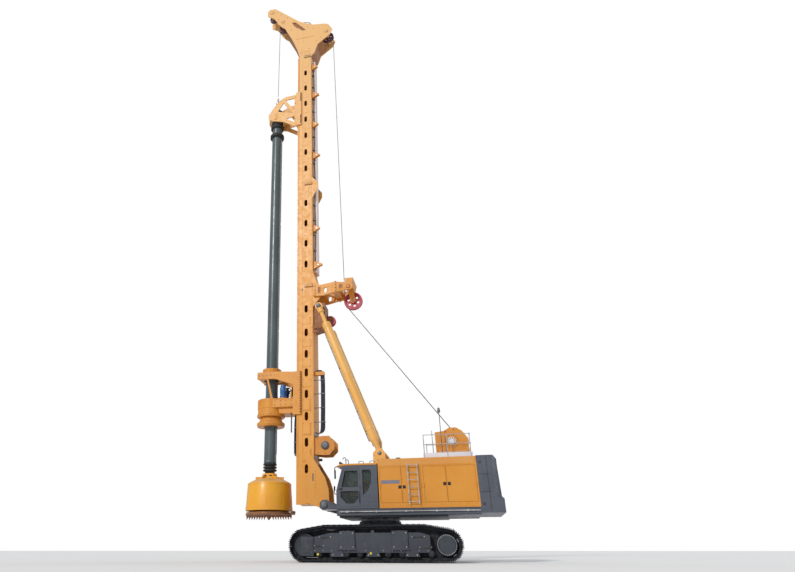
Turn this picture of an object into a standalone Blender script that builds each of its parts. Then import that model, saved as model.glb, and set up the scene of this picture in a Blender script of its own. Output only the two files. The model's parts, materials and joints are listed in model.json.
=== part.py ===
"""Rotary piling rig: tracked carrier, turning house, luffing mast, rotary drive, kelly bar and bucket.

Lengths are in metres. +X points forwards, +Y to the cab's side and +Z up. Every place below is measured from
the slewing axis at ground level; the empty rig_origin then moves the whole rig so that its box is centred.
"""

import math

import bmesh
import bpy
from mathutils import Matrix, Vector

# ---------------------------------------------------------------- driving dimensions
GAP = 0.0003            # between faces that touch
SWING_GAP = 0.006       # between pieces that move past each other
PIN_GAP = 0.004         # radial play of a pin in its bore
ROUND = 16              # sides of a large round piece
SMALL_ROUND = 8         # sides of a small one
HINGE_ROUND = 6         # sides of a hinge knuckle

# crawler
TRACK_AXLE_X = 2.50     # idler ahead of, and sprocket behind, the slewing axis
TRACK_END_RADIUS = 0.56
TRACK_TOP = 1.24
TRACK_TOP_HALF = 1.75   # half length of the loop's level upper run
TRACK_THICK = 0.17
LOOP_STEPS = 8          # chords in each end's arc
TRACK_INNER_Y = 1.55
SHOE_WIDTH = 0.80
SHOE_PITCH = 0.26
SHOE_SLOT = 0.05        # gap between two shoes
SHOE_STEP = 0.03        # depth of that gap
FRAME_INNER_Y = 1.66
FRAME_WIDTH = 0.60
FRAME_BOTTOM = 0.32
FRAME_TOP = 0.96
ROLLER_RADIUS = 0.11
ROLLER_COUNT = 9
ROLLER_END = 0.55       # from the end axle to the first roller's axle
CARRIER_ROLLER_RADIUS = 0.08
CARRIER_ROLLER_X = 0.90
WHEEL_INNER_Y = 1.80    # idler and sprocket
WHEEL_OUTER_Y = 2.10
HUB_COVER_RADIUS = 0.33
CROSS_LEG_REARS = (0.65, -1.20)     # rear faces of the two legs that carry the track frames
CROSS_LEG_LENGTH = 0.55
CAR_BODY_HALF = 1.30
RING_RADIUS = 0.80
RING_BORE = 0.55
RING_BOTTOM = 1.32

# house
DECK_BOTTOM = 1.50
DECK_TOP = 1.80
DECK_FRONT = 1.40
DECK_SKIRT = 1.57       # lower edge of the deck's sides
HOUSE_HALF_WIDTH = 1.60
HOUSE_REAR = 3.78       # rear end of the hood, behind the slewing axis
HOOD_FRONT = -0.20
HOOD_EAVE = 3.30
HOOD_ROOF = 3.56
HOOD_ROOF_INSET = 0.17
SHEET = 0.05            # hood and cab walls, and the doors in them
DOOR_BOTTOM = 1.98
DOOR_TOP = 3.24
REAR_WEIGHT_LENGTH = 0.72
REAR_WEIGHT_STEP = 0.10
REAR_WEIGHT_BOTTOM = 1.60
LADDER_RAILS_X = (-1.30, -1.66)
LADDER_STAND_OFF = 0.12
RUNG_COUNT = 6
RUNG_STEP = 0.255
ROOF_RAIL_FRONT = -1.90
ROOF_RAIL_HALF = 1.20
STRAP_THICK = 0.01      # how far a hinge's strap stands out of, and reaches into, its wall

# cab
MAST_HALF_WIDTH = 0.50
STRUT_Y = MAST_HALF_WIDTH + 0.12
CAB_INNER_Y = STRUT_Y + 0.19    # clear of the posts that carry the struts
CAB_OUTER_Y = 1.62
CAB_REAR = -0.165
CAB_NOSE = 1.40
CAB_BROW = 1.14
CAB_WAIST = 2.45
CAB_TOP = 3.34
CAB_DOOR_REAR = 0.50
CAB_WALL = 0.06
GLASS = 0.012
KNUCKLE = 0.016         # radius of a door hinge's knuckle
KNUCKLE_LENGTH = 0.08
KNUCKLE_OUT = KNUCKLE + 0.002   # from the door's face to its hinge axis
CAB_HINGE = 2.46        # height of the cab door's hinge
DOOR_WINDOW = ((0.57, 2.56), (1.21, 2.56), (1.06, 3.15), (0.57, 3.15))
DOOR_LOW_WINDOW = ((0.57, 2.18), (0.74, 1.98), (1.02, 1.98), (1.24, 2.20), (1.25, 2.42), (0.57, 2.42))
QUARTER_WINDOW = ((0.08, 2.70), (0.20, 2.44), (0.40, 2.26), (0.40, 3.17), (0.12, 3.17), (0.06, 3.10))

# mast
FOOT = Vector((2.07, 0.0, 2.00))       # mast foot pivot
FOOT_PIN_RADIUS = 0.09
MAST_REAR = 2.50
MAST_FRONT = 3.14
EAR_OUTER_Y = MAST_HALF_WIDTH + 0.04    # outer face of the mast foot's ears
MAST_WALL = 0.03
MAST_BOTTOM = 2.05
MAST_JOINT_LOW = 11.53
MAST_JOINT_HIGH = 17.14
MAST_HEAD_BOTTOM = 25.64
RAIL_DEPTH = 0.11
RAIL_WIDTH = 0.12
FLANGE = 0.05           # how far a bolted flange stands out, and its thickness
SLOT_HALF_HEIGHT = 0.19
SLOT_HALF_WIDTH = 0.075
SLOT_X = 2.82
SLOT_HEIGHTS = {
    "mast_lower": (3.40, 4.46, 5.53, 6.48, 7.42, 8.26, 9.26, 10.39),
    "mast_middle": (12.66, 13.77, 14.88, 16.03),
    "mast_top": (18.09, 19.11, 20.18, 21.24, 22.31, 23.38, 24.46),
}

# mast arms, struts and sheaves
ARM_Z = 11.27
ARM_END_X = 0.85
ARM_SHEAVE = Vector((0.72, 0.0, 10.75))
ARM_SHEAVE_RADIUS = 0.42
BOX_SHEAVE = Vector((1.86, -0.25, 9.95))
BOX_SHEAVE_RADIUS = 0.26
STRUT_FOOT = Vector((-0.20, 0.0, 3.88))
STRUT_HEAD = Vector((2.20, 0.0, 10.40))
STRUT_EYE_WIDTH = 0.20
BARREL_RADIUS = 0.19
BARREL_END = 6.08       # along the strut from its foot pin
ROD_RADIUS = 0.09
STRUT_PIN_RADIUS = 0.07
STRUT_FOOT_PIN_RADIUS = 0.08
STRUT_FOOT_EYE_RADIUS = 0.18
STRUT_HEAD_EYE_RADIUS = 0.17
STRUT_HEAD_EYE_HALF = 0.08
STRUT_COLLAR_RADIUS = 0.14
BARREL_NECK_END = 0.60  # where the barrel has its full radius, along the strut
BARREL_BORE_START = 2.80
ROD_OVERLAP = 0.45      # from the bore's end to the rod's end
STRUT_DRIFT = 0.035     # play of the rod eye round its pin
HEAD_FRONT_SHEAVE = Vector((4.17, 0.0, 28.70))
HEAD_TIP_SHEAVE = Vector((4.86, 0.0, 29.62))
HEAD_REAR_SHEAVE = Vector((1.62, 0.0, 27.30))
HEAD_SHEAVE_RADIUS = 0.35
TIP_SHEAVE_RADIUS = 0.26
SHEAVE_HALF = 0.08
SHEAVE_AXLE_RADIUS = 0.06
BOX_SHEAVE_AXLE_RADIUS = 0.05
HEAD_OUTLINE = ((MAST_REAR, MAST_HEAD_BOTTOM), (2.30, 25.90), (2.12, 26.46), (1.42, 27.02), (1.26, 27.39),
                (1.50, 27.84), (1.75, 27.92), (2.40, 28.02), (3.17, 28.46), (4.65, 29.90), (5.00, 29.93),
                (5.13, 29.74), (5.11, 29.40), (4.78, 29.20), (4.62, 28.95), (4.45, 28.62), (4.24, 28.32),
                (4.05, 28.15), (3.62, 27.20), (3.30, 26.30), (MAST_FRONT, MAST_HEAD_BOTTOM))

# winches
MAIN_WINCH = Vector((-3.00, 0.0, 4.24))
MAIN_DRUM_RADIUS = 0.36
MAIN_DRUM_HALF = 0.62
LOW_WINCH = Vector((2.05, 0.0, 4.32))
LOW_DRUM_RADIUS = 0.26
LOW_DRUM_HALF = 0.36
CHEEK = 0.06            # thickness of a winch's side plate
DRUM_RIM = 1.25         # the drum's flanges, as a share of its radius
DRUM_FLANGE = 0.03      # their thickness
WINCH_AXLE_RADIUS = 0.09

# rotary drive, kelly bar and bucket
KELLY_X = 4.52
KELLY_RADIUS = 0.26
KELLY_WALL = 0.04
KELLY_BOTTOM = 3.72
KELLY_TOP = 22.40
KELLY_COLLAR_RADIUS = 0.36
DRIVE_BORE = 0.31
SLEDGE_BOTTOM = 5.62
SLEDGE_TOP = 7.48
SLEDGE_THICK = 0.14
CLAW = 0.08             # how far a runner reaches past the mast's side
BRACKET_HALF = 0.06     # half thickness of the sledge's upper brackets
TOP_COLLAR_RADIUS = 0.42
TOP_COLLAR_TOP = 7.76
DRIVE_RADIUS = 0.60
DRIVE_BOTTOM = 5.62
DRIVE_TOP = 6.38
MOTOR_X = 3.92
MOTOR_Y = 0.26
MOTOR_RADIUS = 0.15
MOTOR_TOP = 7.00
SLEEVE_FLANGE_RADIUS = 0.60
SLEEVE_BOTTOM = 5.23
GUIDE_BOTTOM = 20.90
GUIDE_TOP = 23.10
GUIDE_RING_TOP = 22.00
GUIDE_CHEEK_IN = 0.36
GUIDE_BEARING_RADIUS = 0.45
BUCKET_RADIUS = 0.96
BUCKET_TOP_RADIUS = 0.90
BUCKET_TOP = 3.07
BUCKET_BOTTOM = 1.80
BUCKET_WALL = 0.03
SPRING_COUNT = 3        # black discs over the bucket
SPRING_STEP = 0.12
SPRING_RADIUS = 0.40
SPRING_NECK = 0.34
STUB_HALF = 0.11        # the square stub that stands in the bucket's hub
STUB_GAP = 0.0005
HUB_HALF = 0.26
GATE_THICK = 0.10
GATE_HINGE_OUT = 0.06   # from the bucket's wall to the gate's hinge axis
GATE_PIN_RADIUS = 0.03
GATE_PIN_ROUND = 12
GATE_LUG_IN = 0.20
TOOTH_LENGTH = 0.20
TOOTH_COUNT = 6         # in a row
TOOTH_PITCH = 0.13

# the rig's front and rear ends, which centre its box
RIG_FRONT = KELLY_X + BUCKET_RADIUS
RIG_REAR = HOUSE_REAR + REAR_WEIGHT_LENGTH + REAR_WEIGHT_STEP
ORIGIN_SHIFT = (RIG_REAR - RIG_FRONT) / 2

# joint pivots: body, parent body, point on its axis
PIVOTS = (
    ("crawler", None, (0, 0, 0)),
    ("house", "crawler", (0, 0, DECK_BOTTOM)),
    ("mast", "house", tuple(FOOT)),
    ("left_barrel", "house", (STRUT_FOOT.x, STRUT_Y, STRUT_FOOT.z)),
    ("right_barrel", "house", (STRUT_FOOT.x, -STRUT_Y, STRUT_FOOT.z)),
    ("left_rod", "left_barrel", (STRUT_HEAD.x, STRUT_Y, STRUT_HEAD.z)),
    ("right_rod", "right_barrel", (STRUT_HEAD.x, -STRUT_Y, STRUT_HEAD.z)),
    ("sledge", "mast", (MAST_FRONT, 0, SLEDGE_BOTTOM)),
    ("sleeve", "sledge", (KELLY_X, 0, SLEEVE_BOTTOM)),
    ("guide", "mast", (MAST_FRONT, 0, GUIDE_BOTTOM)),
    ("kelly", "guide", (KELLY_X, 0, KELLY_TOP)),
    ("gate", "kelly", (KELLY_X - BUCKET_RADIUS - GATE_HINGE_OUT, 0, BUCKET_BOTTOM)),
    ("main_drum", "house", tuple(MAIN_WINCH)),
    ("low_drum", "mast", tuple(LOW_WINCH)),
    ("front_sheave", "mast", tuple(HEAD_FRONT_SHEAVE)),
    ("tip_sheave", "mast", tuple(HEAD_TIP_SHEAVE)),
    ("rear_sheave", "mast", tuple(HEAD_REAR_SHEAVE)),
    ("arm_sheave", "mast", tuple(ARM_SHEAVE)),
    ("box_sheave", "mast", tuple(BOX_SHEAVE)),
    ("cab_door", "house", (CAB_DOOR_REAR, CAB_OUTER_Y + KNUCKLE_OUT, CAB_WAIST)),
    ("left_door_1", "house", (-0.26, HOUSE_HALF_WIDTH + KNUCKLE_OUT, DOOR_BOTTOM)),
    ("left_door_2", "house", (-1.76, HOUSE_HALF_WIDTH + KNUCKLE_OUT, DOOR_BOTTOM)),
    ("left_door_3", "house", (-1.86, HOUSE_HALF_WIDTH + KNUCKLE_OUT, DOOR_BOTTOM)),
    ("left_door_4", "house", (-3.72, HOUSE_HALF_WIDTH + KNUCKLE_OUT, DOOR_BOTTOM)),
    ("right_door_1", "house", (-0.40, -HOUSE_HALF_WIDTH - KNUCKLE_OUT, DOOR_BOTTOM)),
    ("right_door_2", "house", (-3.60, -HOUSE_HALF_WIDTH - KNUCKLE_OUT, DOOR_BOTTOM)),
)
PIVOT = {name: Vector(point) for name, _, point in PIVOTS}

# hood doors: body, side (+1 is the cab's side), hinge end, free end
HOOD_DOORS = (
    ("left_door_1", 1, -0.26, -1.045),
    ("left_door_2", 1, -1.76, -1.055),
    ("left_door_3", 1, -1.86, -2.665),
    ("left_door_4", 1, -3.72, -2.675),
    ("right_door_1", -1, -0.40, -1.995),
    ("right_door_2", -1, -3.60, -2.005),
)

# materials: name, colour, roughness, metallic
MATERIALS = (
    ("rig_yellow", (0.80, 0.42, 0.06), 0.45, 0.0),
    ("slate_grey", (0.075, 0.095, 0.13), 0.50, 0.0),
    ("track_black", (0.02, 0.022, 0.028), 0.60, 0.3),
    ("kelly_blue_grey", (0.06, 0.09, 0.11), 0.45, 0.4),
    ("bare_steel", (0.55, 0.55, 0.57), 0.35, 0.9),
    ("sheave_red", (0.50, 0.03, 0.06), 0.45, 0.0),
    ("sheave_purple", (0.10, 0.05, 0.10), 0.50, 0.0),
    ("pale_panel", (0.75, 0.75, 0.80), 0.55, 0.0),
    ("rubber_black", (0.015, 0.015, 0.015), 0.80, 0.0),
    ("window_glass", (0.25, 0.32, 0.30), 0.08, 0.0),
)


# ---------------------------------------------------------------- scene, bodies and materials
def clear_scene():
    for obj in list(bpy.data.objects):
        bpy.data.objects.remove(obj)


def new_collection(name):
    collection = bpy.data.collections.new(name)
    bpy.context.scene.collection.children.link(collection)
    return collection


def new_empty(name, parent, offset):
    empty = bpy.data.objects.new(name, None)
    empty.empty_display_size = 0.3
    empty.parent = parent
    empty.location = offset
    RIG.objects.link(empty)
    return empty


def new_material(name, colour, roughness, metallic):
    material = bpy.data.materials.new(name)
    material.use_nodes = True
    shader = material.node_tree.nodes["Principled BSDF"]
    shader.inputs["Base Color"].default_value = (*colour, 1)
    shader.inputs["Roughness"].default_value = roughness
    shader.inputs["Metallic"].default_value = metallic
    material.diffuse_color = (*colour, 1)
    return material


clear_scene()
RIG = new_collection("rotary_piling_rig")
TOOLS = new_collection("joined_and_cutting_shapes")
ORIGIN = new_empty("rig_origin", None, (ORIGIN_SHIFT, 0, 0))
EMPTIES = {}
for body_name, parent_name, body_point in PIVOTS:
    carrier = EMPTIES.get(parent_name, ORIGIN)
    carrier_point = PIVOT.get(parent_name, Vector())
    EMPTIES[body_name] = new_empty(body_name + "_pivot", carrier, Vector(body_point) - carrier_point)
PAINT = {row[0]: new_material(*row) for row in MATERIALS}


# ---------------------------------------------------------------- shapes
def as_tool(name, data):
    """A shape waiting to become a part, or to be joined to one or cut from one."""
    obj = bpy.data.objects.new(name, data)
    obj.parent = ORIGIN
    obj.hide_render = True
    obj.display_type = "WIRE"
    TOOLS.objects.link(obj)
    return obj


def from_bmesh(name, shape):
    mesh = bpy.data.meshes.new(name)
    bmesh.ops.recalc_face_normals(shape, faces=shape.faces)
    shape.to_mesh(mesh)
    shape.free()
    return as_tool(name, mesh)


def block(x, y, z):
    """A box between the two ends given for each axis."""
    ends = [sorted(span) for span in (x, y, z)]
    size = [high - low for low, high in ends]
    centre = [(low + high) / 2 for low, high in ends]
    shape = bmesh.new()
    bmesh.ops.create_cube(shape, size=1, matrix=Matrix.Translation(centre) @ Matrix.Diagonal((*size, 1)))
    return from_bmesh("block", shape)


def turn_to(direction):
    return Vector((0, 0, 1)).rotation_difference(Vector(direction)).to_matrix().to_4x4()


def rod(start, end, radius, end_radius=None, sides=SMALL_ROUND):
    """A cylinder, or a cone if end_radius is given, from one point to another."""
    start, end = Vector(start), Vector(end)
    place = Matrix.Translation((start + end) / 2) @ turn_to(end - start)
    shape = bmesh.new()
    bmesh.ops.create_cone(shape, cap_ends=True, segments=sides, radius1=radius,
                          radius2=radius if end_radius is None else end_radius,
                          depth=(end - start).length, matrix=place)
    return from_bmesh("rod", shape)


def across(x, z, y, radius, sides=SMALL_ROUND):
    """A cylinder along Y."""
    return rod((x, min(y), z), (x, max(y), z), radius, sides=sides)


def curve_to_mesh(curve, place):
    holder = bpy.data.objects.new("outline", curve)
    TOOLS.objects.link(holder)
    graph = bpy.context.evaluated_depsgraph_get()
    mesh = bpy.data.meshes.new_from_object(holder.evaluated_get(graph))
    bpy.data.objects.remove(holder)
    shape = bmesh.new()
    shape.from_mesh(mesh)
    bpy.data.meshes.remove(mesh)
    bmesh.ops.remove_doubles(shape, verts=shape.verts, dist=0.00002)
    shape.transform(place)
    return from_bmesh("outline", shape)


def add_spline(curve, points, cyclic):
    spline = curve.splines.new("POLY")
    spline.points.add(len(points) - 1)
    for target, point in zip(spline.points, points):
        target.co = (*point, 1)
    spline.use_cyclic_u = cyclic


# where an outline's own axes and its thickness point, for the plane that it is drawn in
PLANES = {
    "XZ": Matrix(((1, 0, 0), (0, 0, -1), (0, 1, 0))).to_4x4(),
    "YZ": Matrix(((0, 0, 1), (1, 0, 0), (0, 1, 0))).to_4x4(),
    "XY": Matrix.Identity(4),
}
THICK_AXIS = {"XZ": Vector((0, 1, 0)), "YZ": Vector((1, 0, 0)), "XY": Vector((0, 0, 1))}


def plate(outlines, span, plane="XZ"):
    """A flat shape with one outline, or several with the holes among them, between the two ends of span."""
    curve = bpy.data.curves.new("outline", "CURVE")
    curve.dimensions = "2D"
    curve.fill_mode = "BOTH"
    curve.extrude = abs(span[1] - span[0]) / 2
    for points in outlines:
        add_spline(curve, [(u, v, 0) for u, v in points], True)
    middle = THICK_AXIS[plane] * (span[0] + span[1]) / 2
    return curve_to_mesh(curve, Matrix.Translation(middle) @ PLANES[plane])


def turned(profile, closed, place=(0, 0, 0), direction=(0, 0, 1), sides=ROUND):
    """A turned shape. The profile holds (radius, height) pairs that run down the outer side."""
    mesh = bpy.data.meshes.new("turned")
    edges = [(i, i + 1) for i in range(len(profile) - 1)]
    if closed:
        edges.append((len(profile) - 1, 0))
    mesh.from_pydata([(radius, 0, height) for radius, height in profile], edges, [])
    obj = as_tool("turned", mesh)
    screw = obj.modifiers.new("turn", "SCREW")
    screw.steps = screw.render_steps = sides
    screw.use_merge_vertices = True
    screw.merge_threshold = 0.00001
    screw.use_normal_calculate = False
    obj.matrix_local = Matrix.Translation(place) @ turn_to(direction)
    return obj


def ring(outer, inner, low, high):
    """The profile of a plain ring."""
    return [(outer, high), (outer, low), (inner, low), (inner, high)]


def bore_radius(pin_radius, sides=SMALL_ROUND):
    """The corner radius of a faceted bore that a pin turns in."""
    return (pin_radius + PIN_GAP) / math.cos(math.pi / sides)


def slot(x, z, half_width, half_height, steps=3):
    """A long hole, upright, with round ends."""
    points = []
    for end, first in ((1, 0), (-1, math.pi)):
        centre = z + end * (half_height - half_width)
        for i in range(steps + 1):
            angle = first + math.pi * i / steps
            points.append((x + half_width * math.cos(angle), centre + half_width * math.sin(angle)))
    return points


def circle(x, z, radius, steps=12):
    return [(x + radius * math.cos(2 * math.pi * i / steps), z + radius * math.sin(2 * math.pi * i / steps))
            for i in range(steps)]


def part(name, paint, body, base, add=(), cut=(), add_after=()):
    """Names a shape, gives it its material and body, and joins and cuts the others to it."""
    TOOLS.objects.unlink(base)
    RIG.objects.link(base)
    base.name = name
    base.data.name = name
    base.hide_render = False
    base.display_type = "TEXTURED"
    base.data.materials.append(PAINT[paint])
    steps = [("UNION", tool) for tool in add] + [("DIFFERENCE", tool) for tool in cut]
    steps += [("UNION", tool) for tool in add_after]
    for operation, tool in steps:
        boolean = base.modifiers.new(tool.name, "BOOLEAN")
        boolean.operation = operation
        boolean.solver = "EXACT"
        boolean.object = tool
        tool.name = f"{name}_{operation.lower()}"
    base.parent = EMPTIES[body]
    base.location = base.location - PIVOT[body]
    return base


# ---------------------------------------------------------------- crawler
def tangent_angle(top_x, top_z, radius):
    """Where the line from the end of the level upper run meets the circle round an end axle."""
    away = Vector((top_x - TRACK_AXLE_X, top_z - TRACK_END_RADIUS))
    return math.atan2(away.y, away.x) - math.acos(radius / away.length)


def loop_arc(radius, top):
    """The ends of the arc round the idler, as angles."""
    return -math.pi / 2, tangent_angle(TRACK_TOP_HALF, top, radius)


def loop_corners(inset):
    """The track loop as (x, z) corners, with each end's arc cut into short steps."""
    radius = TRACK_END_RADIUS - inset
    top = TRACK_TOP - inset
    first, last = loop_arc(radius, top)
    arc = []
    for i in range(LOOP_STEPS + 1):
        angle = first + (last - first) * i / LOOP_STEPS
        arc.append((TRACK_AXLE_X + radius * math.cos(angle), TRACK_END_RADIUS + radius * math.sin(angle)))
    front = arc + [(TRACK_TOP_HALF, top)]
    return front + [(-x, z) for x, z in reversed(front)]


def along(corners, distance):
    """The point at a distance round a closed line, and the way out of the loop there."""
    for i, corner in enumerate(corners):
        start, end = Vector(corner), Vector(corners[(i + 1) % len(corners)])
        length = (end - start).length
        if distance <= length:
            way = (end - start) / length
            return start + way * distance, Vector((way.y, -way.x))
        distance -= length
    return Vector(corners[0]), Vector((0, -1))


def wheel_outline(end):
    """The outline of an end wheel, its corners facing those of the loop's arc. end is 1 ahead, -1 behind."""
    radius = TRACK_END_RADIUS - TRACK_THICK - GAP
    first, last = loop_arc(TRACK_END_RADIUS - TRACK_THICK, TRACK_TOP - TRACK_THICK)
    angles = [first + (last - first) * i / LOOP_STEPS for i in range(LOOP_STEPS + 1)]
    inner_arc = 2 * math.pi - (last - first)
    angles += [last + inner_arc * i / LOOP_STEPS for i in range(1, LOOP_STEPS)]
    return [(end * (TRACK_AXLE_X + radius * math.cos(angle)), TRACK_END_RADIUS + radius * math.sin(angle))
            for angle in angles]


def shoe_outline():
    corners = loop_corners(0)
    length = sum((Vector(a) - Vector(b)).length for a, b in zip(corners, corners[1:] + corners[:1]))
    count = round(length / SHOE_PITCH)
    pitch = length / count
    points = []
    for i in range(count):
        start = i * pitch + SHOE_SLOT / 2
        end = (i + 1) * pitch - SHOE_SLOT / 2
        for distance, inset in ((start, SHOE_STEP), (start, 0), (end, 0), (end, SHOE_STEP)):
            place, outward = along(corners, distance)
            points.append(tuple(place - outward * inset))
    return points


def crawler_side(side, word):
    inner, outer = side * TRACK_INNER_Y, side * (TRACK_INNER_Y + SHOE_WIDTH)
    part(word + "_track", "track_black", "crawler",
         plate([shoe_outline(), loop_corners(TRACK_THICK)], (inner, outer)))

    beam_in, beam_out = side * FRAME_INNER_Y, side * (FRAME_INNER_Y + FRAME_WIDTH)
    frame_front, frame_rear = TRACK_AXLE_X - 0.30, ROLLER_END - TRACK_AXLE_X
    beam = plate([[(frame_front, FRAME_BOTTOM), (frame_front, 0.82), (frame_front - 0.65, FRAME_TOP),
                   (frame_rear + 0.35, FRAME_TOP), (frame_rear, 0.86), (frame_rear, FRAME_BOTTOM)]],
                 (beam_in, beam_out))
    add = []
    run = 2 * (TRACK_AXLE_X - ROLLER_END)
    roller_z = TRACK_THICK + GAP + ROLLER_RADIUS
    for i in range(ROLLER_COUNT):
        x = -run / 2 + run * i / (ROLLER_COUNT - 1)
        add.append(across(x, roller_z, (side * 1.72, side * 2.20), ROLLER_RADIUS))
    carrier_z = TRACK_TOP - TRACK_THICK - GAP - CARRIER_ROLLER_RADIUS
    for x in (CARRIER_ROLLER_X, -CARRIER_ROLLER_X):
        add.append(across(x, carrier_z, (side * 1.76, side * 2.12), CARRIER_ROLLER_RADIUS))
    idler = plate([wheel_outline(1)], (side * WHEEL_INNER_Y, side * WHEEL_OUTER_Y))
    yoke = block((frame_front - 0.10, TRACK_AXLE_X + 0.05), (side * 1.74, side * 2.18), (0.44, 0.68))
    tensioner = block((frame_front - 0.07, TRACK_AXLE_X + 0.10), (side * WHEEL_OUTER_Y, side * 2.30),
                      (0.22, 0.84))
    motor_seat = block((-TRACK_AXLE_X - 0.12, frame_rear + 0.05), (beam_in, side * WHEEL_INNER_Y),
                       (0.38, 0.74))
    add += [idler, yoke, tensioner, motor_seat]
    for x in CROSS_LEG_REARS:
        add.append(block((x, x + CROSS_LEG_LENGTH), (side * 2.20, side * 2.325), (0.44, 1.02)))
    part(word + "_track_frame", "slate_grey", "crawler", beam, add)

    sprocket = plate([wheel_outline(-1)], (side * (WHEEL_INNER_Y + GAP), side * WHEEL_OUTER_Y))
    cover = across(-TRACK_AXLE_X, TRACK_END_RADIUS, (side * 2.05, side * 2.30), HUB_COVER_RADIUS, ROUND)
    part(word + "_sprocket", "slate_grey", "crawler", sprocket, [cover])


def crawler():
    for side, word in ((1, "left"), (-1, "right")):
        crawler_side(side, word)
    reach = FRAME_INNER_Y - GAP
    centre = block((-CAR_BODY_HALF, CAR_BODY_HALF), (-1.35, 1.35), (0.52, 1.12))
    legs = [block((x, x + CROSS_LEG_LENGTH), (-reach, reach), (0.46, 1.00)) for x in CROSS_LEG_REARS]
    pedestal = rod((0, 0, 1.05), (0, 0, RING_BOTTOM - GAP), RING_RADIUS + 0.06, sides=ROUND)
    part("car_body", "slate_grey", "crawler", centre, legs + [pedestal])
    part("slew_ring", "bare_steel", "crawler",
         turned(ring(RING_RADIUS, RING_BORE, RING_BOTTOM, DECK_BOTTOM - GAP), True))


# ---------------------------------------------------------------- house
def main_deck():
    deck = block((-HOUSE_REAR, DECK_FRONT), (-HOUSE_HALF_WIDTH, HOUSE_HALF_WIDTH), (DECK_SKIRT, DECK_TOP))
    under = block((-2.60, DECK_FRONT - 0.06), (-1.35, 1.35), (DECK_BOTTOM, 1.60))
    lug = [(1.20, 1.58), (2.10, 1.82), (2.26, 1.90), (2.26, 2.10), (2.14, 2.20), (1.98, 2.20), (1.20, 1.78)]
    lugs = [plate([lug], (side * EAR_OUTER_Y, side * (EAR_OUTER_Y + 0.10))) for side in (1, -1)]
    pin = across(FOOT.x, FOOT.z, (-EAR_OUTER_Y - 0.13, EAR_OUTER_Y + 0.13), FOOT_PIN_RADIUS)
    part("main_deck", "slate_grey", "house", deck, [under] + lugs + [pin])


def hood():
    half, inset = HOUSE_HALF_WIDTH, HOOD_ROOF_INSET
    low = DECK_TOP + GAP

    def section(shrink, bottom):
        return [(-half + shrink, bottom), (half - shrink, bottom), (half - shrink, HOOD_EAVE - shrink / 4),
                (half - inset - shrink / 2, HOOD_ROOF - shrink), (-half + inset + shrink / 2,
                                                                  HOOD_ROOF - shrink),
                (-half + shrink, HOOD_EAVE - shrink / 4)]

    shell = plate([section(0, low)], (-HOUSE_REAR, HOOD_FRONT), "YZ")
    inside = plate([section(SHEET, low - 0.1)], (-HOUSE_REAR + SHEET, HOOD_FRONT - SHEET), "YZ")
    doorways = []
    for _, side, hinge, free in HOOD_DOORS:
        low_x, high_x = min(hinge, free) - SWING_GAP, max(hinge, free) + SWING_GAP
        doorways.append(block((low_x, high_x), (side * (half - 0.12), side * (half + 0.1)),
                              (DOOR_BOTTOM - SWING_GAP, DOOR_TOP + SWING_GAP)))
    knuckles = []
    for name, side, hinge, free in HOOD_DOORS:
        knuckles += knuckle(name, half, side, math.copysign(1, hinge - free), 0)
    part("engine_hood", "rig_yellow", "house", shell, (), [inside] + doorways, knuckles)
    for name, side, hinge, free in HOOD_DOORS:
        panel = block((hinge, free), (side * (half - SHEET), side * half), (DOOR_BOTTOM, DOOR_TOP))
        way = math.copysign(1, free - hinge)
        part(name.replace("door", "hood_door"), "rig_yellow", name, panel,
             knuckle(name, half, side, way, 1))


def knuckle(name, wall_y, side, way, step, height=DOOR_BOTTOM + 0.50):
    """A hinge's knuckle with its strap on a door's axis. way is +1 if the strap runs forwards."""
    axis = PIVOT[name]
    low = height + step * (KNUCKLE_LENGTH + GAP)
    high = low + KNUCKLE_LENGTH
    barrel = rod((axis.x, axis.y, low), (axis.x, axis.y, high), KNUCKLE, sides=HINGE_ROUND)
    strap = block((axis.x + way * 0.002, axis.x + way * 0.06),
                  (side * (wall_y - STRAP_THICK), side * (wall_y + STRAP_THICK)), (low + 0.008,
                                                                                   high - 0.008))
    return [barrel, strap]


def ladder():
    """The ladder up the hood's side, carried by the door that it hangs on."""
    face = HOUSE_HALF_WIDTH + GAP
    out = face + LADDER_STAND_OFF
    low, high = DECK_TOP + 0.12, HOOD_EAVE + 0.06
    rails = [block((x - 0.018, x + 0.018), (out - 0.018, out + 0.018), (low, high)) for x in LADDER_RAILS_X]
    feet = [block((x - 0.015, x + 0.015), (face, out + 0.005), (z - 0.015, z + 0.015))
            for x in LADDER_RAILS_X for z in (DOOR_BOTTOM + 0.12, DOOR_TOP - 0.12)]
    rung_z = [low + 0.06 + i * RUNG_STEP for i in range(RUNG_COUNT)]
    rungs = [block(LADDER_RAILS_X, (out - 0.013, out + 0.013), (z, z + 0.026)) for z in rung_z]
    part("ladder", "bare_steel", "left_door_2", rails[0], rungs + [rails[1]] + feet)


def rear_weight():
    front = -HOUSE_REAR - GAP
    rear = front - REAR_WEIGHT_LENGTH
    low = REAR_WEIGHT_BOTTOM
    outline = [(front, low), (rear - REAR_WEIGHT_STEP + GAP, low), (rear - REAR_WEIGHT_STEP + GAP, 2.06),
               (rear - 0.04, 2.12), (rear, 3.16), (rear, 3.44), (rear + 0.10, HOOD_ROOF), (front,
                                                                                           HOOD_ROOF)]
    half = HOUSE_HALF_WIDTH
    weight = plate([outline], (-half, half))
    corners = []
    for side in (1, -1):
        corners.append(plate([[(rear - 0.3, side * (half + 0.1)), (rear - 0.3, side * (half - 0.32)),
                               (rear + 0.02, side * (half - 0.22)), (rear + 0.24, side * (half + 0.1))]],
                             (2.12, 4.0), "XY"))
    part("counterweight", "slate_grey", "house", weight, (), corners)


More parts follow.
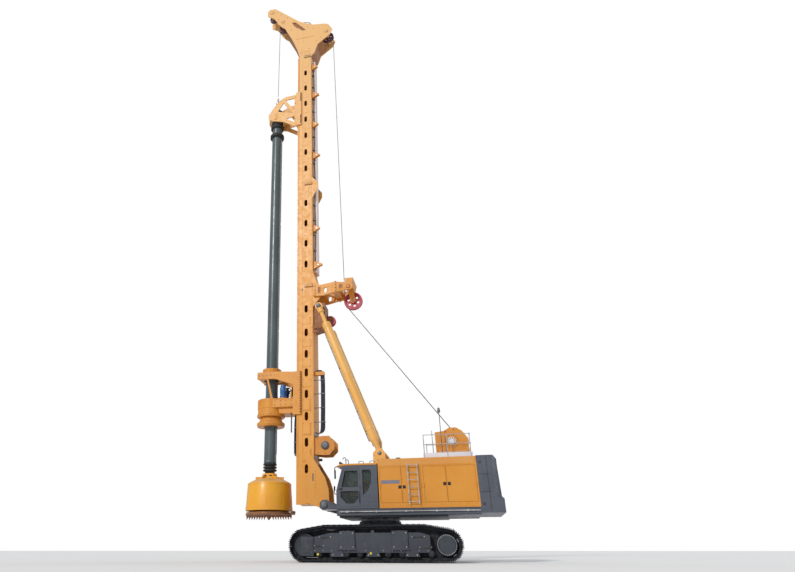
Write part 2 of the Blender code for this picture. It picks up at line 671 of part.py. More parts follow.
def cab_profile(shrink):
    """The cab's side outline: it leans back above the waist."""
    low = DECK_TOP + GAP + shrink
    return [(CAB_REAR + shrink, low), (CAB_NOSE - shrink, low), (CAB_NOSE - shrink, CAB_WAIST),
            (CAB_BROW - shrink, CAB_TOP - shrink), (CAB_REAR + shrink, CAB_TOP - shrink)]


def cab_door_outline(shrink):
    low, high = DECK_TOP + 0.07 + shrink, CAB_TOP - 0.10 - shrink
    rear, front = CAB_DOOR_REAR + shrink, CAB_NOSE - 0.075 - shrink
    slope = (CAB_NOSE - CAB_BROW) / (CAB_TOP - CAB_WAIST)
    return [(rear, low), (front, low), (front, CAB_WAIST), (front - slope * (high - CAB_WAIST), high),
            (rear, high)]


def cab():
    inner, outer = CAB_INNER_Y, CAB_OUTER_Y
    wall = CAB_WALL
    shell = plate([cab_profile(0)], (inner, outer))
    room = plate([cab_profile(wall)], (inner + wall, outer - wall))
    doorway = plate([cab_door_outline(-SWING_GAP)], (outer - 2 * wall, outer + 0.1))
    quarter = plate([QUARTER_WINDOW], (outer - 2 * wall, outer + 0.1))
    right = plate([[(0.02, 2.30), (1.20, 2.30), (1.20, 2.56), (1.03, 3.15), (0.02, 3.15)]],
                  (inner - 0.1, inner + 2 * wall))
    front = block((CAB_NOSE - 0.50, CAB_NOSE + 0.2), (inner + 0.10, outer - 0.10), (2.06, 3.22))
    hinge = knuckle("cab_door", outer, 1, -1, 0, CAB_HINGE)
    part("cab_shell", "slate_grey", "house", shell, (), [room, doorway, quarter, right, front], hinge)

    panel = plate([cab_door_outline(0), DOOR_WINDOW, DOOR_LOW_WINDOW], (outer - wall, outer))
    part("cab_door", "slate_grey", "cab_door", panel, knuckle("cab_door", outer, 1, 1, 1, CAB_HINGE))
    behind = outer - wall - GAP
    part("door_window", "window_glass", "cab_door",
         plate([[(0.535, 1.945), (1.27, 1.945), (1.28, 2.56), (1.10, 3.185), (0.535, 3.185)]],
               (behind - GLASS, behind)))

    part("quarter_window", "window_glass", "house",
         plate([[(0.02, 2.66), (0.16, 2.38), (0.36, 2.20), (0.44, 2.20), (0.44, 3.22), (0.02, 3.22)]],
               (behind - GLASS, behind)))
    inside = inner + wall + GAP
    part("right_window", "window_glass", "house",
         plate([[(-0.03, 2.25), (1.25, 2.25), (1.25, 2.56), (1.07, 3.20), (-0.03, 3.20)]],
               (inside, inside + GLASS)))
    slope = (CAB_NOSE - CAB_BROW) / (CAB_TOP - wall - CAB_WAIST)
    back = wall + GAP
    screen = [(CAB_NOSE - back, 2.00), (CAB_NOSE - back, CAB_WAIST),
              (CAB_NOSE - back - slope * (3.26 - CAB_WAIST), 3.26),
              (CAB_NOSE - back - slope * (3.26 - CAB_WAIST) - GLASS, 3.26),
              (CAB_NOSE - back - GLASS, CAB_WAIST), (CAB_NOSE - back - GLASS, 2.00)]
    screen_edge = wall + 0.02
    part("windscreen", "window_glass", "house", plate([screen], (inner + screen_edge, outer - screen_edge)))

    guard = block((CAB_REAR, CAB_BROW + 0.12), (inner, outer + 0.02), (CAB_TOP + GAP, CAB_TOP + 0.06))
    visor = plate([[(CAB_BROW, CAB_TOP + 0.02), (CAB_BROW + 0.22, CAB_TOP - 0.04),
                    (CAB_BROW + 0.22, CAB_TOP),
                    (CAB_BROW, CAB_TOP + 0.06)]], (inner, outer + 0.02))
    part("cab_roof_guard", "rig_yellow", "house", guard, [visor])


def cab_inside():
    floor = DECK_TOP + GAP + CAB_WALL + GAP
    middle = (CAB_INNER_Y + CAB_OUTER_Y) / 2
    base = block((0.18, 0.60), (middle - 0.16, middle + 0.16), (floor, floor + 0.30))
    cushion = block((0.14, 0.66), (middle - 0.24, middle + 0.24), (floor + 0.27, floor + 0.42))
    back = plate([[(0.05, floor + 0.30), (0.20, floor + 0.30), (0.10, floor + 1.02),
                   (-0.02, floor + 1.02)]],
                 (middle - 0.22, middle + 0.22))
    part("operator_seat", "rubber_black", "house", base, [cushion, back])
    column = plate([[(0.92, floor), (1.12, floor), (1.20, floor + 0.50), (1.02, floor + 0.60)]],
                   (middle - 0.15, middle + 0.15))
    pad = block((0.98, 1.18), (middle - 0.22, middle + 0.22), (floor + 0.46, floor + 0.56))
    part("control_console", "rubber_black", "house", column, [pad])


def machinery():
    floor = DECK_TOP + GAP
    part("engine_block", "track_black", "house",
         block((-3.10, -1.60), (-0.50, 0.50), (floor, floor + 1.15)))
    outline = [(HOOD_FRONT + 0.02, floor), (DECK_FRONT - 0.02, floor), (DECK_FRONT - 0.02, 2.55),
               (DECK_FRONT - 0.30, 3.05), (HOOD_FRONT + 0.02, 3.05)]
    tank = plate([outline], (-HOUSE_HALF_WIDTH + 0.01, -CAB_INNER_Y - 0.05))
    part("fuel_tank", "rig_yellow", "house", tank)


def strut_support():
    floor = DECK_TOP + GAP
    low_x, high_x = HOOD_FRONT + 0.012, HOOD_FRONT + 0.26
    eye_in, eye_out = STRUT_Y - STRUT_EYE_WIDTH / 2, STRUT_Y + STRUT_EYE_WIDTH / 2
    shapes = []
    lug = [(high_x, 3.40), (high_x, 3.90), (STRUT_FOOT.x + 0.10, 4.06), (STRUT_FOOT.x - 0.10, 4.06),
           (STRUT_FOOT.x - 0.22, 3.90), (STRUT_FOOT.x - 0.22, HOOD_ROOF + 0.01), (low_x, HOOD_ROOF + 0.01),
           (low_x, 3.40)]
    for side in (1, -1):
        shapes.append(block((low_x, high_x), (side * (eye_in - 0.05), side * (eye_out + 0.05)),
                            (floor, 3.55)))
        for near, far in ((eye_in - 0.05, eye_in - GAP), (eye_out + GAP, eye_out + 0.05)):
            shapes.append(plate([lug], (side * near, side * far)))
        shapes.append(across(STRUT_FOOT.x, STRUT_FOOT.z, (side * (eye_in - 0.06), side * (eye_out + 0.06)),
                             STRUT_FOOT_PIN_RADIUS))
    beam = block((low_x, high_x), (-eye_in, eye_in), (3.20, 3.50))
    part("strut_support", "rig_yellow", "house", beam, shapes)


def roof_rails():
    floor = HOOD_ROOF + GAP
    front, rear, half = ROOF_RAIL_FRONT, -HOUSE_REAR + 0.06, ROOF_RAIL_HALF
    board_top = floor + 0.19
    boards = [block((rear, front), (side * half, side * (half + 0.02)), (floor, board_top)) for side in (1,
                                                                                                         -1)]
    boards.append(block((rear, rear + 0.02), (-half - 0.01, half + 0.01), (floor, board_top)))
    posts = []
    tube = 0.018
    for side in (1, -1):
        y = side * (half + 0.01)
        for x in (front - 0.05, (front + rear) / 2, rear + 0.05):
            posts.append(block((x - tube, x + tube), (y - tube, y + tube), (floor + 0.05, floor + 0.88)))
        for z in (floor + 0.50, floor + 0.85):
            posts.append(block((rear + 0.03, front - 0.03), (y - tube / 2, y + tube / 2), (z, z + tube)))
    part("roof_rails", "pale_panel", "house", boards[0], boards[1:] + posts)


def winch(name, body, drum_body, centre, half, drum_radius, cheek_outline, base):
    """A drum on its axle between two side plates that stand on a base."""
    cheek_in = half + GAP
    cheeks = [plate([cheek_outline], (side * cheek_in, side * (cheek_in + CHEEK))) for side in (1, -1)]
    axle = across(centre.x, centre.z, (-cheek_in - CHEEK - 0.03, cheek_in + CHEEK + 0.03),
                  WINCH_AXLE_RADIUS)
    part(name + "_frame", "rig_yellow", body, base, cheeks + [axle])
    rim = drum_radius * DRUM_RIM
    bore = bore_radius(WINCH_AXLE_RADIUS, ROUND)
    flange = half - DRUM_FLANGE
    profile = [(rim, half), (rim, flange), (drum_radius, flange), (drum_radius, -flange),
               (rim, -flange), (rim, -half), (bore, -half), (bore, half)]
    drum = turned(profile, True, centre, (0, 1, 0))
    part(name + "_drum", "track_black", drum_body, drum)


def main_winch():
    floor = HOOD_ROOF + GAP
    x, z = MAIN_WINCH.x, MAIN_WINCH.z
    outline = [(x - 0.62, floor + 0.02), (x + 0.62, floor + 0.02), (x + 0.62, z + 0.36),
               (x + 0.28, z + 0.40),
               (x + 0.05, z + 0.52), (x - 0.20, z + 0.52), (x - 0.42, z + 0.38), (x - 0.62, z + 0.10)]
    reach = MAIN_DRUM_HALF + CHEEK
    base = block((x - 0.60, x + 0.60), (-reach, reach), (floor, floor + 0.05))
    winch("main_winch", "house", "main_drum", MAIN_WINCH, MAIN_DRUM_HALF, MAIN_DRUM_RADIUS, outline, base)


# ---------------------------------------------------------------- mast
def mast_section(name, low, high, extra, top_flange, bottom_flange):
    """A box tube with long holes in its sides and two guide rails on its front."""
    half = MAST_HALF_WIDTH
    tube = block((MAST_REAR, MAST_FRONT), (-half, half), (low, high))
    hollow = block((MAST_REAR + MAST_WALL, MAST_FRONT - MAST_WALL), (-half + MAST_WALL, half - MAST_WALL),
                   (low + 0.04, high - 0.04))
    holes = plate([slot(SLOT_X, z, SLOT_HALF_WIDTH, SLOT_HALF_HEIGHT) for z in SLOT_HEIGHTS[name]],
                  (-half - 0.1, half + 0.1))
    add = [block((MAST_FRONT - 0.02, MAST_FRONT + RAIL_DEPTH),
                 (side * (half - RAIL_WIDTH), side * (half - GAP)),
                 (low + GAP, high - GAP)) for side in (1, -1)]
    for wanted, end, way in ((top_flange, high, -1), (bottom_flange, low, 1)):
        if wanted:
            add += [block((MAST_REAR, MAST_FRONT - 0.24), (side * (half - 0.02), side * (half + FLANGE)),
                          (end, end + way * FLANGE)) for side in (1, -1)]
    part(name, "rig_yellow", "mast", tube, add + extra, [hollow, holes])


def side_plates(outline, thick=0.05):
    """The same plate on each side of the mast, flush with its side."""
    half = MAST_HALF_WIDTH
    return [plate([outline], (side * (half - thick), side * (half - GAP))) for side in (1, -1)]


def mast():
    rear = MAST_REAR
    ear = [(rear + 0.20, 4.05), (rear - 0.10, 3.60), (2.06, 3.05), (1.92, 2.60), (1.90, 2.05), (1.96, 1.86),
           (2.16, 1.82), (2.32, 1.94), (2.86, 2.12), (2.86, 3.60)]
    bore = circle(FOOT.x, FOOT.z, bore_radius(FOOT_PIN_RADIUS), SMALL_ROUND)
    ears = [plate([ear, bore],
                  (side * (MAST_HALF_WIDTH - 0.07), side * (EAR_OUTER_Y - GAP))) for side in (1, -1)]
    web_half = MAST_HALF_WIDTH - 0.05
    web = block((rear - 0.12, rear + 0.01), (-web_half, web_half), (2.45, 3.40))
    low_flare = side_plates([(rear + 0.05, 10.40), (rear - 0.30, 10.85),
                             (rear - 0.30, MAST_JOINT_LOW - GAP),
                             (rear + 0.05, MAST_JOINT_LOW - GAP)])
    mast_section("mast_lower", MAST_BOTTOM, MAST_JOINT_LOW - GAP, ears + [web] + low_flare, True, False)
    mid_flare = side_plates([(rear + 0.05, MAST_JOINT_LOW), (rear - 0.30, MAST_JOINT_LOW),
                             (rear - 0.14, 11.80),
                             (rear - 0.03, 12.15), (rear + 0.05, 12.45)])
    wedge_low = side_plates([(rear + 0.05, 16.20), (rear - 0.30, 16.86),
                             (rear - 0.30, MAST_JOINT_HIGH - GAP),
                             (rear + 0.05, MAST_JOINT_HIGH - GAP)])
    mast_section("mast_middle", MAST_JOINT_LOW, MAST_JOINT_HIGH - GAP, mid_flare + wedge_low, True, True)
    wedge_high = side_plates([(rear + 0.05, MAST_JOINT_HIGH), (rear - 0.30, MAST_JOINT_HIGH),
                              (rear + 0.05, 17.60)])
    mast_section("mast_top", MAST_JOINT_HIGH, MAST_HEAD_BOTTOM - GAP, wedge_high, True, True)


def mast_head():
    half = MAST_HALF_WIDTH
    opening = [(2.80, 27.72), (3.00, 27.70), (3.50, 28.20), (3.62, 28.50), (3.40, 28.46)]
    cheeks = [plate([HEAD_OUTLINE, opening], (side * (half - 0.05), side * half)) for side in (1, -1)]
    core = block((MAST_REAR + 0.02, MAST_FRONT - 0.02), (-half + 0.02, half - 0.02),
                 (MAST_HEAD_BOTTOM + 0.01, 27.0))
    ties = [rod((x, -half + 0.02, z), (x, half - 0.02, z), radius)
            for x, z, radius in ((3.75, 28.80, 0.07), (2.10, 27.20, 0.07), (3.75, 27.80, 0.06))]
    shafts = []
    reach = half + 0.04
    boss = SHEAVE_HALF + GAP
    for centre in (HEAD_FRONT_SHEAVE, HEAD_TIP_SHEAVE, HEAD_REAR_SHEAVE):
        shafts.append(across(centre.x, centre.z, (-reach, reach), SHEAVE_AXLE_RADIUS))
        for side in (1, -1):
            shafts.append(across(centre.x, centre.z, (side * boss, side * (half - 0.02)),
                                 SHEAVE_AXLE_RADIUS + 0.045))
    part("mast_head", "rig_yellow", "mast", core, cheeks + ties + shafts)


def sheave(name, body, centre, radius, paint, axle=SHEAVE_AXLE_RADIUS):
    half = SHEAVE_HALF
    bore = bore_radius(axle, ROUND)
    web = half * 0.3
    profile = [(radius, half * 0.8), (radius - 0.05, 0), (radius, -half * 0.8), (radius - 0.12, -web),
               (bore + 0.06, -half), (bore, -half), (bore, half), (bore + 0.06, half), (radius - 0.12, web)]
    part(name, paint, body, turned(profile, True, centre, (0, 1, 0)))


def mast_arms():
    half = MAST_HALF_WIDTH + GAP
    outline = [(MAST_REAR - 0.04, 11.46), (MAST_REAR - 0.04, 10.95), (2.05, 10.93), (1.45, 11.06),
               (0.74, 11.12),
               (0.66, 11.20), (0.66, 11.36), (0.74, 11.44), (1.45, 11.56), (2.05, 11.48)]
    hole = slot(1.90, 11.20, 0.07, 0.14)
    arms = [plate([outline, hole], (side * half, side * (half + 0.10))) for side in (1, -1)]
    cross = block((1.30, 1.60), (-half - 0.05, half + 0.05), (11.14, 11.48))
    end = plate([[(0.90, 11.20), (0.72, 11.30), (0.62, 11.70), (1.02, 11.70)]], (-half - 0.05, half + 0.05))
    boss = SHEAVE_HALF + GAP
    hanger = [(0.98, 11.60), (0.72, 11.60), (0.60, 10.70), (0.72, 10.62), (0.84, 10.70)]
    hangers = [plate([hanger], (side * boss, side * (boss + 0.05))) for side in (1, -1)]
    axle = across(ARM_SHEAVE.x, ARM_SHEAVE.z, (-boss - 0.06, boss + 0.06), SHEAVE_AXLE_RADIUS)
    pins = across(ARM_END_X, ARM_Z, (-half - 0.13, half + 0.13), 0.07)
    part("mast_arms", "rig_yellow", "mast", cross, arms + [end] + hangers + [axle, pins])
    sheave("arm_sheave", "arm_sheave", ARM_SHEAVE, ARM_SHEAVE_RADIUS, "sheave_red")


def strut_head_box():
    rear = MAST_REAR - GAP
    eye_in = STRUT_Y - STRUT_EYE_WIDTH / 2
    body = plate([[(rear, 9.40), (2.12, 9.50), (1.98, 9.80), (1.98, 10.62), (rear, 10.80)]],
                 (-eye_in + 0.11, eye_in - 0.11))
    pin = across(STRUT_HEAD.x, STRUT_HEAD.z, (-STRUT_Y - 0.14, STRUT_Y + 0.14), STRUT_PIN_RADIUS)
    y, boss = BOX_SHEAVE.y, SHEAVE_HALF + GAP
    ears = [plate([[(2.20, 9.70), (BOX_SHEAVE.x - 0.10, 9.82), (BOX_SHEAVE.x - 0.10, 10.08),
                    (2.20, 10.20)]],
                  (y + side * boss, y + side * (boss + 0.04))) for side in (1, -1)]
    notch = block((1.50, 2.15), (y - boss, y + boss), (9.60, 10.30))
    axle = across(BOX_SHEAVE.x, BOX_SHEAVE.z, (y - boss - 0.05, y + boss + 0.05), BOX_SHEAVE_AXLE_RADIUS)
    part("strut_head_box", "rig_yellow", "mast", body, [pin] + ears, [notch], [axle])
    sheave("box_sheave", "box_sheave", BOX_SHEAVE, BOX_SHEAVE_RADIUS, "sheave_red", BOX_SHEAVE_AXLE_RADIUS)


def struts():
    line = (STRUT_HEAD - STRUT_FOOT).normalized()
    bore = ROD_RADIUS + GAP
    eye_half = STRUT_EYE_WIDTH / 2
    for side, word in ((1, "left"), (-1, "right")):
        offset = Vector((0, side * STRUT_Y, 0))
        foot, head = STRUT_FOOT + offset, STRUT_HEAD + offset
        neck = eye_half - SWING_GAP
        profile = [(0, BARREL_END), (BARREL_RADIUS - 0.02, BARREL_END), (BARREL_RADIUS, BARREL_END - 0.05),
                   (BARREL_RADIUS, BARREL_NECK_END), (neck, BARREL_NECK_END - 0.22), (neck, 0.08), (0,
                                                                                                    0.08)]
        barrel = turned(profile, False, foot, line)
        eye = across(foot.x, foot.z, (foot.y - eye_half, foot.y + eye_half), STRUT_FOOT_EYE_RADIUS, ROUND)
        hole = across(foot.x, foot.z, (foot.y - 0.2, foot.y + 0.2), bore_radius(STRUT_FOOT_PIN_RADIUS))
        cavity = rod(foot + line * BARREL_BORE_START, foot + line * (BARREL_END + 0.1), bore)
        part(word + "_strut_barrel", "rig_yellow", word + "_barrel", barrel, [eye], [hole, cavity])
        stem = rod(foot + line * (BARREL_BORE_START + ROD_OVERLAP), head - line * 0.08, ROD_RADIUS)
        collar = rod(head - line * 0.42, head - line * 0.10, STRUT_COLLAR_RADIUS)
        eye_y = (head.y - STRUT_HEAD_EYE_HALF, head.y + STRUT_HEAD_EYE_HALF)
        rod_eye = across(head.x, head.z, eye_y, STRUT_HEAD_EYE_RADIUS, ROUND)
        loose = across(head.x, head.z, (head.y - 0.2, head.y + 0.2), STRUT_PIN_RADIUS + STRUT_DRIFT)
        part(word + "_strut_rod", "rig_yellow", word + "_rod", stem, [collar, rod_eye], [loose])


def low_winch():
    x, z = LOW_WINCH.x, LOW_WINCH.z
    rear = MAST_REAR - GAP
    outline = [(rear, z - 0.34), (rear, z + 0.34), (x + 0.16, z + 0.38), (x - 0.16, z + 0.38),
               (x - 0.38, z + 0.16), (x - 0.38, z - 0.16), (x - 0.16, z - 0.38), (x + 0.16, z - 0.38)]
    reach = LOW_DRUM_HALF + CHEEK
    base = block((rear - 0.04, rear), (-reach, reach), (z - 0.30, z + 0.30))
    winch("low_winch", "mast", "low_drum", LOW_WINCH, LOW_DRUM_HALF, LOW_DRUM_RADIUS, outline, base)


def hose_tray():
    rear = MAST_REAR - GAP
    part("hose_tray", "pale_panel", "mast",
         plate([[(-0.24, 12.30), (-0.24, 25.40), (0.24, 25.40), (0.24, 12.30)]], (rear - 0.16, rear), "YZ"))


# ---------------------------------------------------------------- rotary drive, kelly bar and bucket
def claws(low, high):
    """Hooked runners that reach round both guide rails."""
    half = MAST_HALF_WIDTH
    front = MAST_FRONT + RAIL_DEPTH + GAP
    shapes = []
    for side in (1, -1):
        shapes.append(block((MAST_FRONT - 0.10, front + 0.05),
                            (side * (half + SWING_GAP), side * (half + CLAW)),
                            (low, high)))
    return shapes


def drive():
    half = MAST_HALF_WIDTH
    front = MAST_FRONT + RAIL_DEPTH + GAP
    face = front + SLEDGE_THICK
    back = block((front, face), (-half - CLAW, half + CLAW), (SLEDGE_BOTTOM, SLEDGE_TOP))
    gusset = [(face - 0.02, 6.90), (face - 0.02, SLEDGE_TOP), (4.20, 7.54), (5.02, 7.54), (5.02, 7.24),
              (4.20, 7.22)]
    brackets = [plate([gusset],
                      (side * (half - BRACKET_HALF), side * (half + BRACKET_HALF))) for side in (1, -1)]
    plate_top = block((KELLY_X - 0.42, KELLY_X + 0.48), (-half, half), (7.26, 7.50))
    bore = rod((KELLY_X, 0, 6.6), (KELLY_X, 0, 8.4), DRIVE_BORE + 0.03, sides=ROUND)
    collar = rod((KELLY_X, 0, 7.46), (KELLY_X, 0, TOP_COLLAR_TOP), TOP_COLLAR_RADIUS, sides=ROUND)
    part("drive_sledge", "rig_yellow", "sledge", back,
         claws(SLEDGE_BOTTOM, SLEDGE_TOP) + brackets + [plate_top, collar], [bore])

    body = rod((KELLY_X, 0, DRIVE_BOTTOM), (KELLY_X, 0, DRIVE_TOP), DRIVE_RADIUS, sides=ROUND)
    box = block((face + GAP, KELLY_X), (-0.55, 0.55), (DRIVE_BOTTOM + 0.10, DRIVE_TOP - 0.04))
    hole = rod((KELLY_X, 0, 5.0), (KELLY_X, 0, 7.0), DRIVE_BORE, sides=ROUND)
    motors = [rod((MOTOR_X, side * MOTOR_Y, DRIVE_TOP - 0.10), (MOTOR_X, side * MOTOR_Y, MOTOR_TOP),
                  MOTOR_RADIUS)
              for side in (1, -1)]
    part("drive_gearbox", "rig_yellow", "sledge", body, [box] + motors, [hole])

    low, top = SLEEVE_BOTTOM, DRIVE_BOTTOM - GAP
    profile = [(0.46, top), (0.46, top - 0.06), (0.54, low + 0.16), (SLEEVE_FLANGE_RADIUS, low + 0.16),
               (SLEEVE_FLANGE_RADIUS, low), (DRIVE_BORE - 0.01, low), (DRIVE_BORE - 0.01, top)]
    part("drive_sleeve", "rig_yellow", "sleeve", turned(profile, True, (KELLY_X, 0, 0)))


def kelly_guide():
    front = MAST_FRONT + RAIL_DEPTH + GAP
    outline = [(front + 0.04, GUIDE_BOTTOM + 0.02), (3.46, 20.98), (4.06, 21.38), (4.66, 21.56),
               (4.90, 21.70),
               (4.90, 21.98), (4.62, 22.45), (4.30, 22.86), (3.98, 23.06), (front + 0.04, GUIDE_TOP)]
    openings = ([(3.46, 22.02), (3.46, 22.88), (3.96, 22.84)],
                [(3.56, 21.86), (4.08, 22.68), (4.40, 22.14)],
                [(3.46, 21.24), (3.46, 21.66), (3.94, 21.56)])
    cheeks = [plate([outline, *openings],
                    (side * GUIDE_CHEEK_IN, side * (GUIDE_CHEEK_IN + 0.06))) for side in (1, -1)]
    reach = MAST_HALF_WIDTH + CLAW
    cross = block((front, front + 0.08), (-reach, reach), (GUIDE_BOTTOM, GUIDE_TOP))
    inner = KELLY_RADIUS + 0.05
    bearing = turned(ring(GUIDE_BEARING_RADIUS, inner, 21.62, GUIDE_RING_TOP), True, (KELLY_X, 0, 0))
    part("kelly_guide", "rig_yellow", "guide", cross, claws(GUIDE_BOTTOM, GUIDE_TOP) + cheeks + [bearing])


def kelly():
    r, bore = KELLY_RADIUS, KELLY_RADIUS - KELLY_WALL
    shoulder = GUIDE_RING_TOP + GAP
    profile = [(r, KELLY_TOP), (r, 22.24), (KELLY_COLLAR_RADIUS, 22.22), (KELLY_COLLAR_RADIUS, shoulder),
               (r, shoulder), (r, 21.42),
               (0.31, 21.40), (0.31, 21.24), (r, 21.22), (r, KELLY_BOTTOM), (bore, KELLY_BOTTOM), (bore,
                                                                                                   KELLY_TOP)]
    place = (KELLY_X, 0, 0)
    part("kelly_bar", "kelly_blue_grey", "kelly", turned(profile, True, place))
    top = KELLY_BOTTOM - GAP
    stack = [(0, top)]
    for i in range(SPRING_COUNT):
        disc_top = top - SPRING_STEP * i
        low = disc_top - SPRING_STEP
        stack += [(SPRING_RADIUS, disc_top), (SPRING_RADIUS, low + 0.03), (SPRING_NECK, low + 0.03),
                  (SPRING_NECK, low)]
    stack_bottom = top - SPRING_STEP * SPRING_COUNT
    stack.append((0, stack_bottom))
    stub = block((KELLY_X - STUB_HALF, KELLY_X + STUB_HALF), (-STUB_HALF, STUB_HALF),
                 (BUCKET_TOP + 0.05, top - 0.2))
    part("kelly_stub", "rubber_black", "kelly", turned(stack, False, place), [stub])

    wall = BUCKET_WALL
    lid_z = BUCKET_TOP
    shell = [(0.22, lid_z + 0.08), (BUCKET_TOP_RADIUS, lid_z), (BUCKET_RADIUS, BUCKET_BOTTOM + 0.10),
             (BUCKET_RADIUS, BUCKET_BOTTOM), (BUCKET_RADIUS - 0.05, BUCKET_BOTTOM),
             (BUCKET_RADIUS - 0.05, BUCKET_BOTTOM + 0.10), (BUCKET_TOP_RADIUS - wall, lid_z - 0.04),
             (0.22, lid_z + 0.04)]
    hub = block((KELLY_X - HUB_HALF, KELLY_X + HUB_HALF), (-HUB_HALF, HUB_HALF),
                (lid_z + 0.01, stack_bottom - 0.008))
    hole_half = STUB_HALF + STUB_GAP
    stub_hole = block((KELLY_X - hole_half, KELLY_X + hole_half), (-hole_half, hole_half),
                      (lid_z - 0.2, 4.2))
    hinge_x, hinge_z = PIVOT["gate"].x, PIVOT["gate"].z
    lug = [(KELLY_X - BUCKET_RADIUS + 0.075, 2.10), (hinge_x - 0.04, 1.90),
           (hinge_x - 0.05, hinge_z - 0.05),
           (hinge_x + 0.04, hinge_z - 0.05), (KELLY_X - BUCKET_RADIUS + 0.075, BUCKET_BOTTOM + 0.01)]
    lugs = [plate([lug], (side * GATE_LUG_IN, side * (GATE_LUG_IN + 0.06))) for side in (1, -1)]
    pin = across(hinge_x, hinge_z, (-GATE_LUG_IN - 0.07, GATE_LUG_IN + 0.07), GATE_PIN_RADIUS,
                 GATE_PIN_ROUND)
    part("bucket_shell", "rig_yellow", "kelly", turned(shell, True, place), [hub] + lugs, [stub_hole],
         [pin])

    top_z = BUCKET_BOTTOM - SWING_GAP
    disc = rod((KELLY_X, 0, top_z - GATE_THICK), (KELLY_X, 0, top_z), BUCKET_RADIUS - 0.02, sides=ROUND)
    ear = [(hinge_x - 0.055, hinge_z - 0.02), (hinge_x - 0.03, hinge_z + 0.05),
           (hinge_x + 0.035, hinge_z + 0.045),
           (hinge_x + 0.05, top_z), (hinge_x + 0.20, top_z - 0.01), (hinge_x + 0.20,
                                                                     top_z - GATE_THICK + 0.01),
           (hinge_x - 0.03, top_z - GATE_THICK + 0.01)]
    bore = circle(hinge_x, hinge_z, bore_radius(GATE_PIN_RADIUS, GATE_PIN_ROUND), GATE_PIN_ROUND)
    tongue = plate([ear, bore], (-GATE_LUG_IN + GAP, GATE_LUG_IN - GAP))
    teeth = []
    tooth_top = top_z - GATE_THICK + 0.02
    for i in range(TOOTH_COUNT):
        x = KELLY_X + 0.14 + TOOTH_PITCH * i
        for side in (1, -1):
            y = side * 0.10
            teeth.append(plate([[(x, tooth_top), (x + 0.07, tooth_top),
                                 (x + 0.03, tooth_top - TOOTH_LENGTH),
                                 (x + 0.01, tooth_top - TOOTH_LENGTH)]], (y - 0.05, y + 0.05)))
    pilot = rod((KELLY_X, 0, tooth_top - TOOTH_LENGTH), (KELLY_X, 0, tooth_top), 0.03, 0.10)
    part("bucket_gate", "rig_yellow", "gate", disc, [tongue, pilot] + teeth)


# ---------------------------------------------------------------- the rig
crawler()
main_deck()
hood()
ladder()
rear_weight()
cab()
cab_inside()
machinery()
strut_support()
roof_rails()
main_winch()
mast()
mast_head()
mast_arms()
strut_head_box()
struts()
low_winch()
hose_tray()
drive()
kelly_guide()
kelly()
sheave("head_front_sheave", "front_sheave", HEAD_FRONT_SHEAVE, HEAD_SHEAVE_RADIUS, "sheave_purple")
sheave("head_tip_sheave", "tip_sheave", HEAD_TIP_SHEAVE, TIP_SHEAVE_RADIUS, "sheave_purple")
sheave("head_rear_sheave", "rear_sheave", HEAD_REAR_SHEAVE, HEAD_SHEAVE_RADIUS, "sheave_purple")
for obj in RIG.objects:
    if obj.type == "MESH":
        obj.data.shade_smooth()
        obj.data.set_sharp_from_angle(angle=math.radians(30))
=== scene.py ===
"""Looks of the rotary piling rig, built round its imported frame. Metres, +X forwards, +Y to the cab's side, +Z up.

Places along X are measured from the slewing axis; new_piece() moves each mesh to its frame place.
"""
import json
import math

import bmesh
import bpy
from mathutils import Matrix, Vector

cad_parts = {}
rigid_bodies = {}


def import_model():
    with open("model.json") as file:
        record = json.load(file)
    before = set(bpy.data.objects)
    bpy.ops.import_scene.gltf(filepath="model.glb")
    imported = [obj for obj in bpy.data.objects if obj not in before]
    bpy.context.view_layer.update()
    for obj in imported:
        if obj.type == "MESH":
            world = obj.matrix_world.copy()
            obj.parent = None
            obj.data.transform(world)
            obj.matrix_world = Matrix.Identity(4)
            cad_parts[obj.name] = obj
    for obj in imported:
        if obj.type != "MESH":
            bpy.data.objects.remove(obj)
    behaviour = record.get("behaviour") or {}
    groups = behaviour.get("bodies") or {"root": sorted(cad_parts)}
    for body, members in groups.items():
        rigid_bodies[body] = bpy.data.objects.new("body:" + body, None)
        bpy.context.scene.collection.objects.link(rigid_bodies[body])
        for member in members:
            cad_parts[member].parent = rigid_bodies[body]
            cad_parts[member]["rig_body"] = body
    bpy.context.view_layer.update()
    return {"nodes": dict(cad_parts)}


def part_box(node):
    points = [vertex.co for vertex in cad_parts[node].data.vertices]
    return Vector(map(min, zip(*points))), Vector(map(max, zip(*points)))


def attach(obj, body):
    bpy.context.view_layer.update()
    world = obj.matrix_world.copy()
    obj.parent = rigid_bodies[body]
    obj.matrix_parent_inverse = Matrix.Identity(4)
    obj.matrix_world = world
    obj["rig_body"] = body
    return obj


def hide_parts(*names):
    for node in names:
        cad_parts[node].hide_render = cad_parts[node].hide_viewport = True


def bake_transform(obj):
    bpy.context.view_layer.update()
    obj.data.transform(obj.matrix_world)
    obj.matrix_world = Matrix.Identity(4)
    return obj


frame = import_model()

NODES = frame["nodes"]


def span(node):
    """A node's lowest and highest corners, measured along X from the slewing axis."""
    low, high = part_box(node)
    return low - AXIS, high - AXIS


def middle_of(node):
    """The middle of a node's box."""
    low, high = span(node)
    return (low + high) / 2


def radius_of(node):
    """Half of a node's height, which is the radius of a wheel or drum."""
    low, high = span(node)
    return (high.z - low.z) / 2


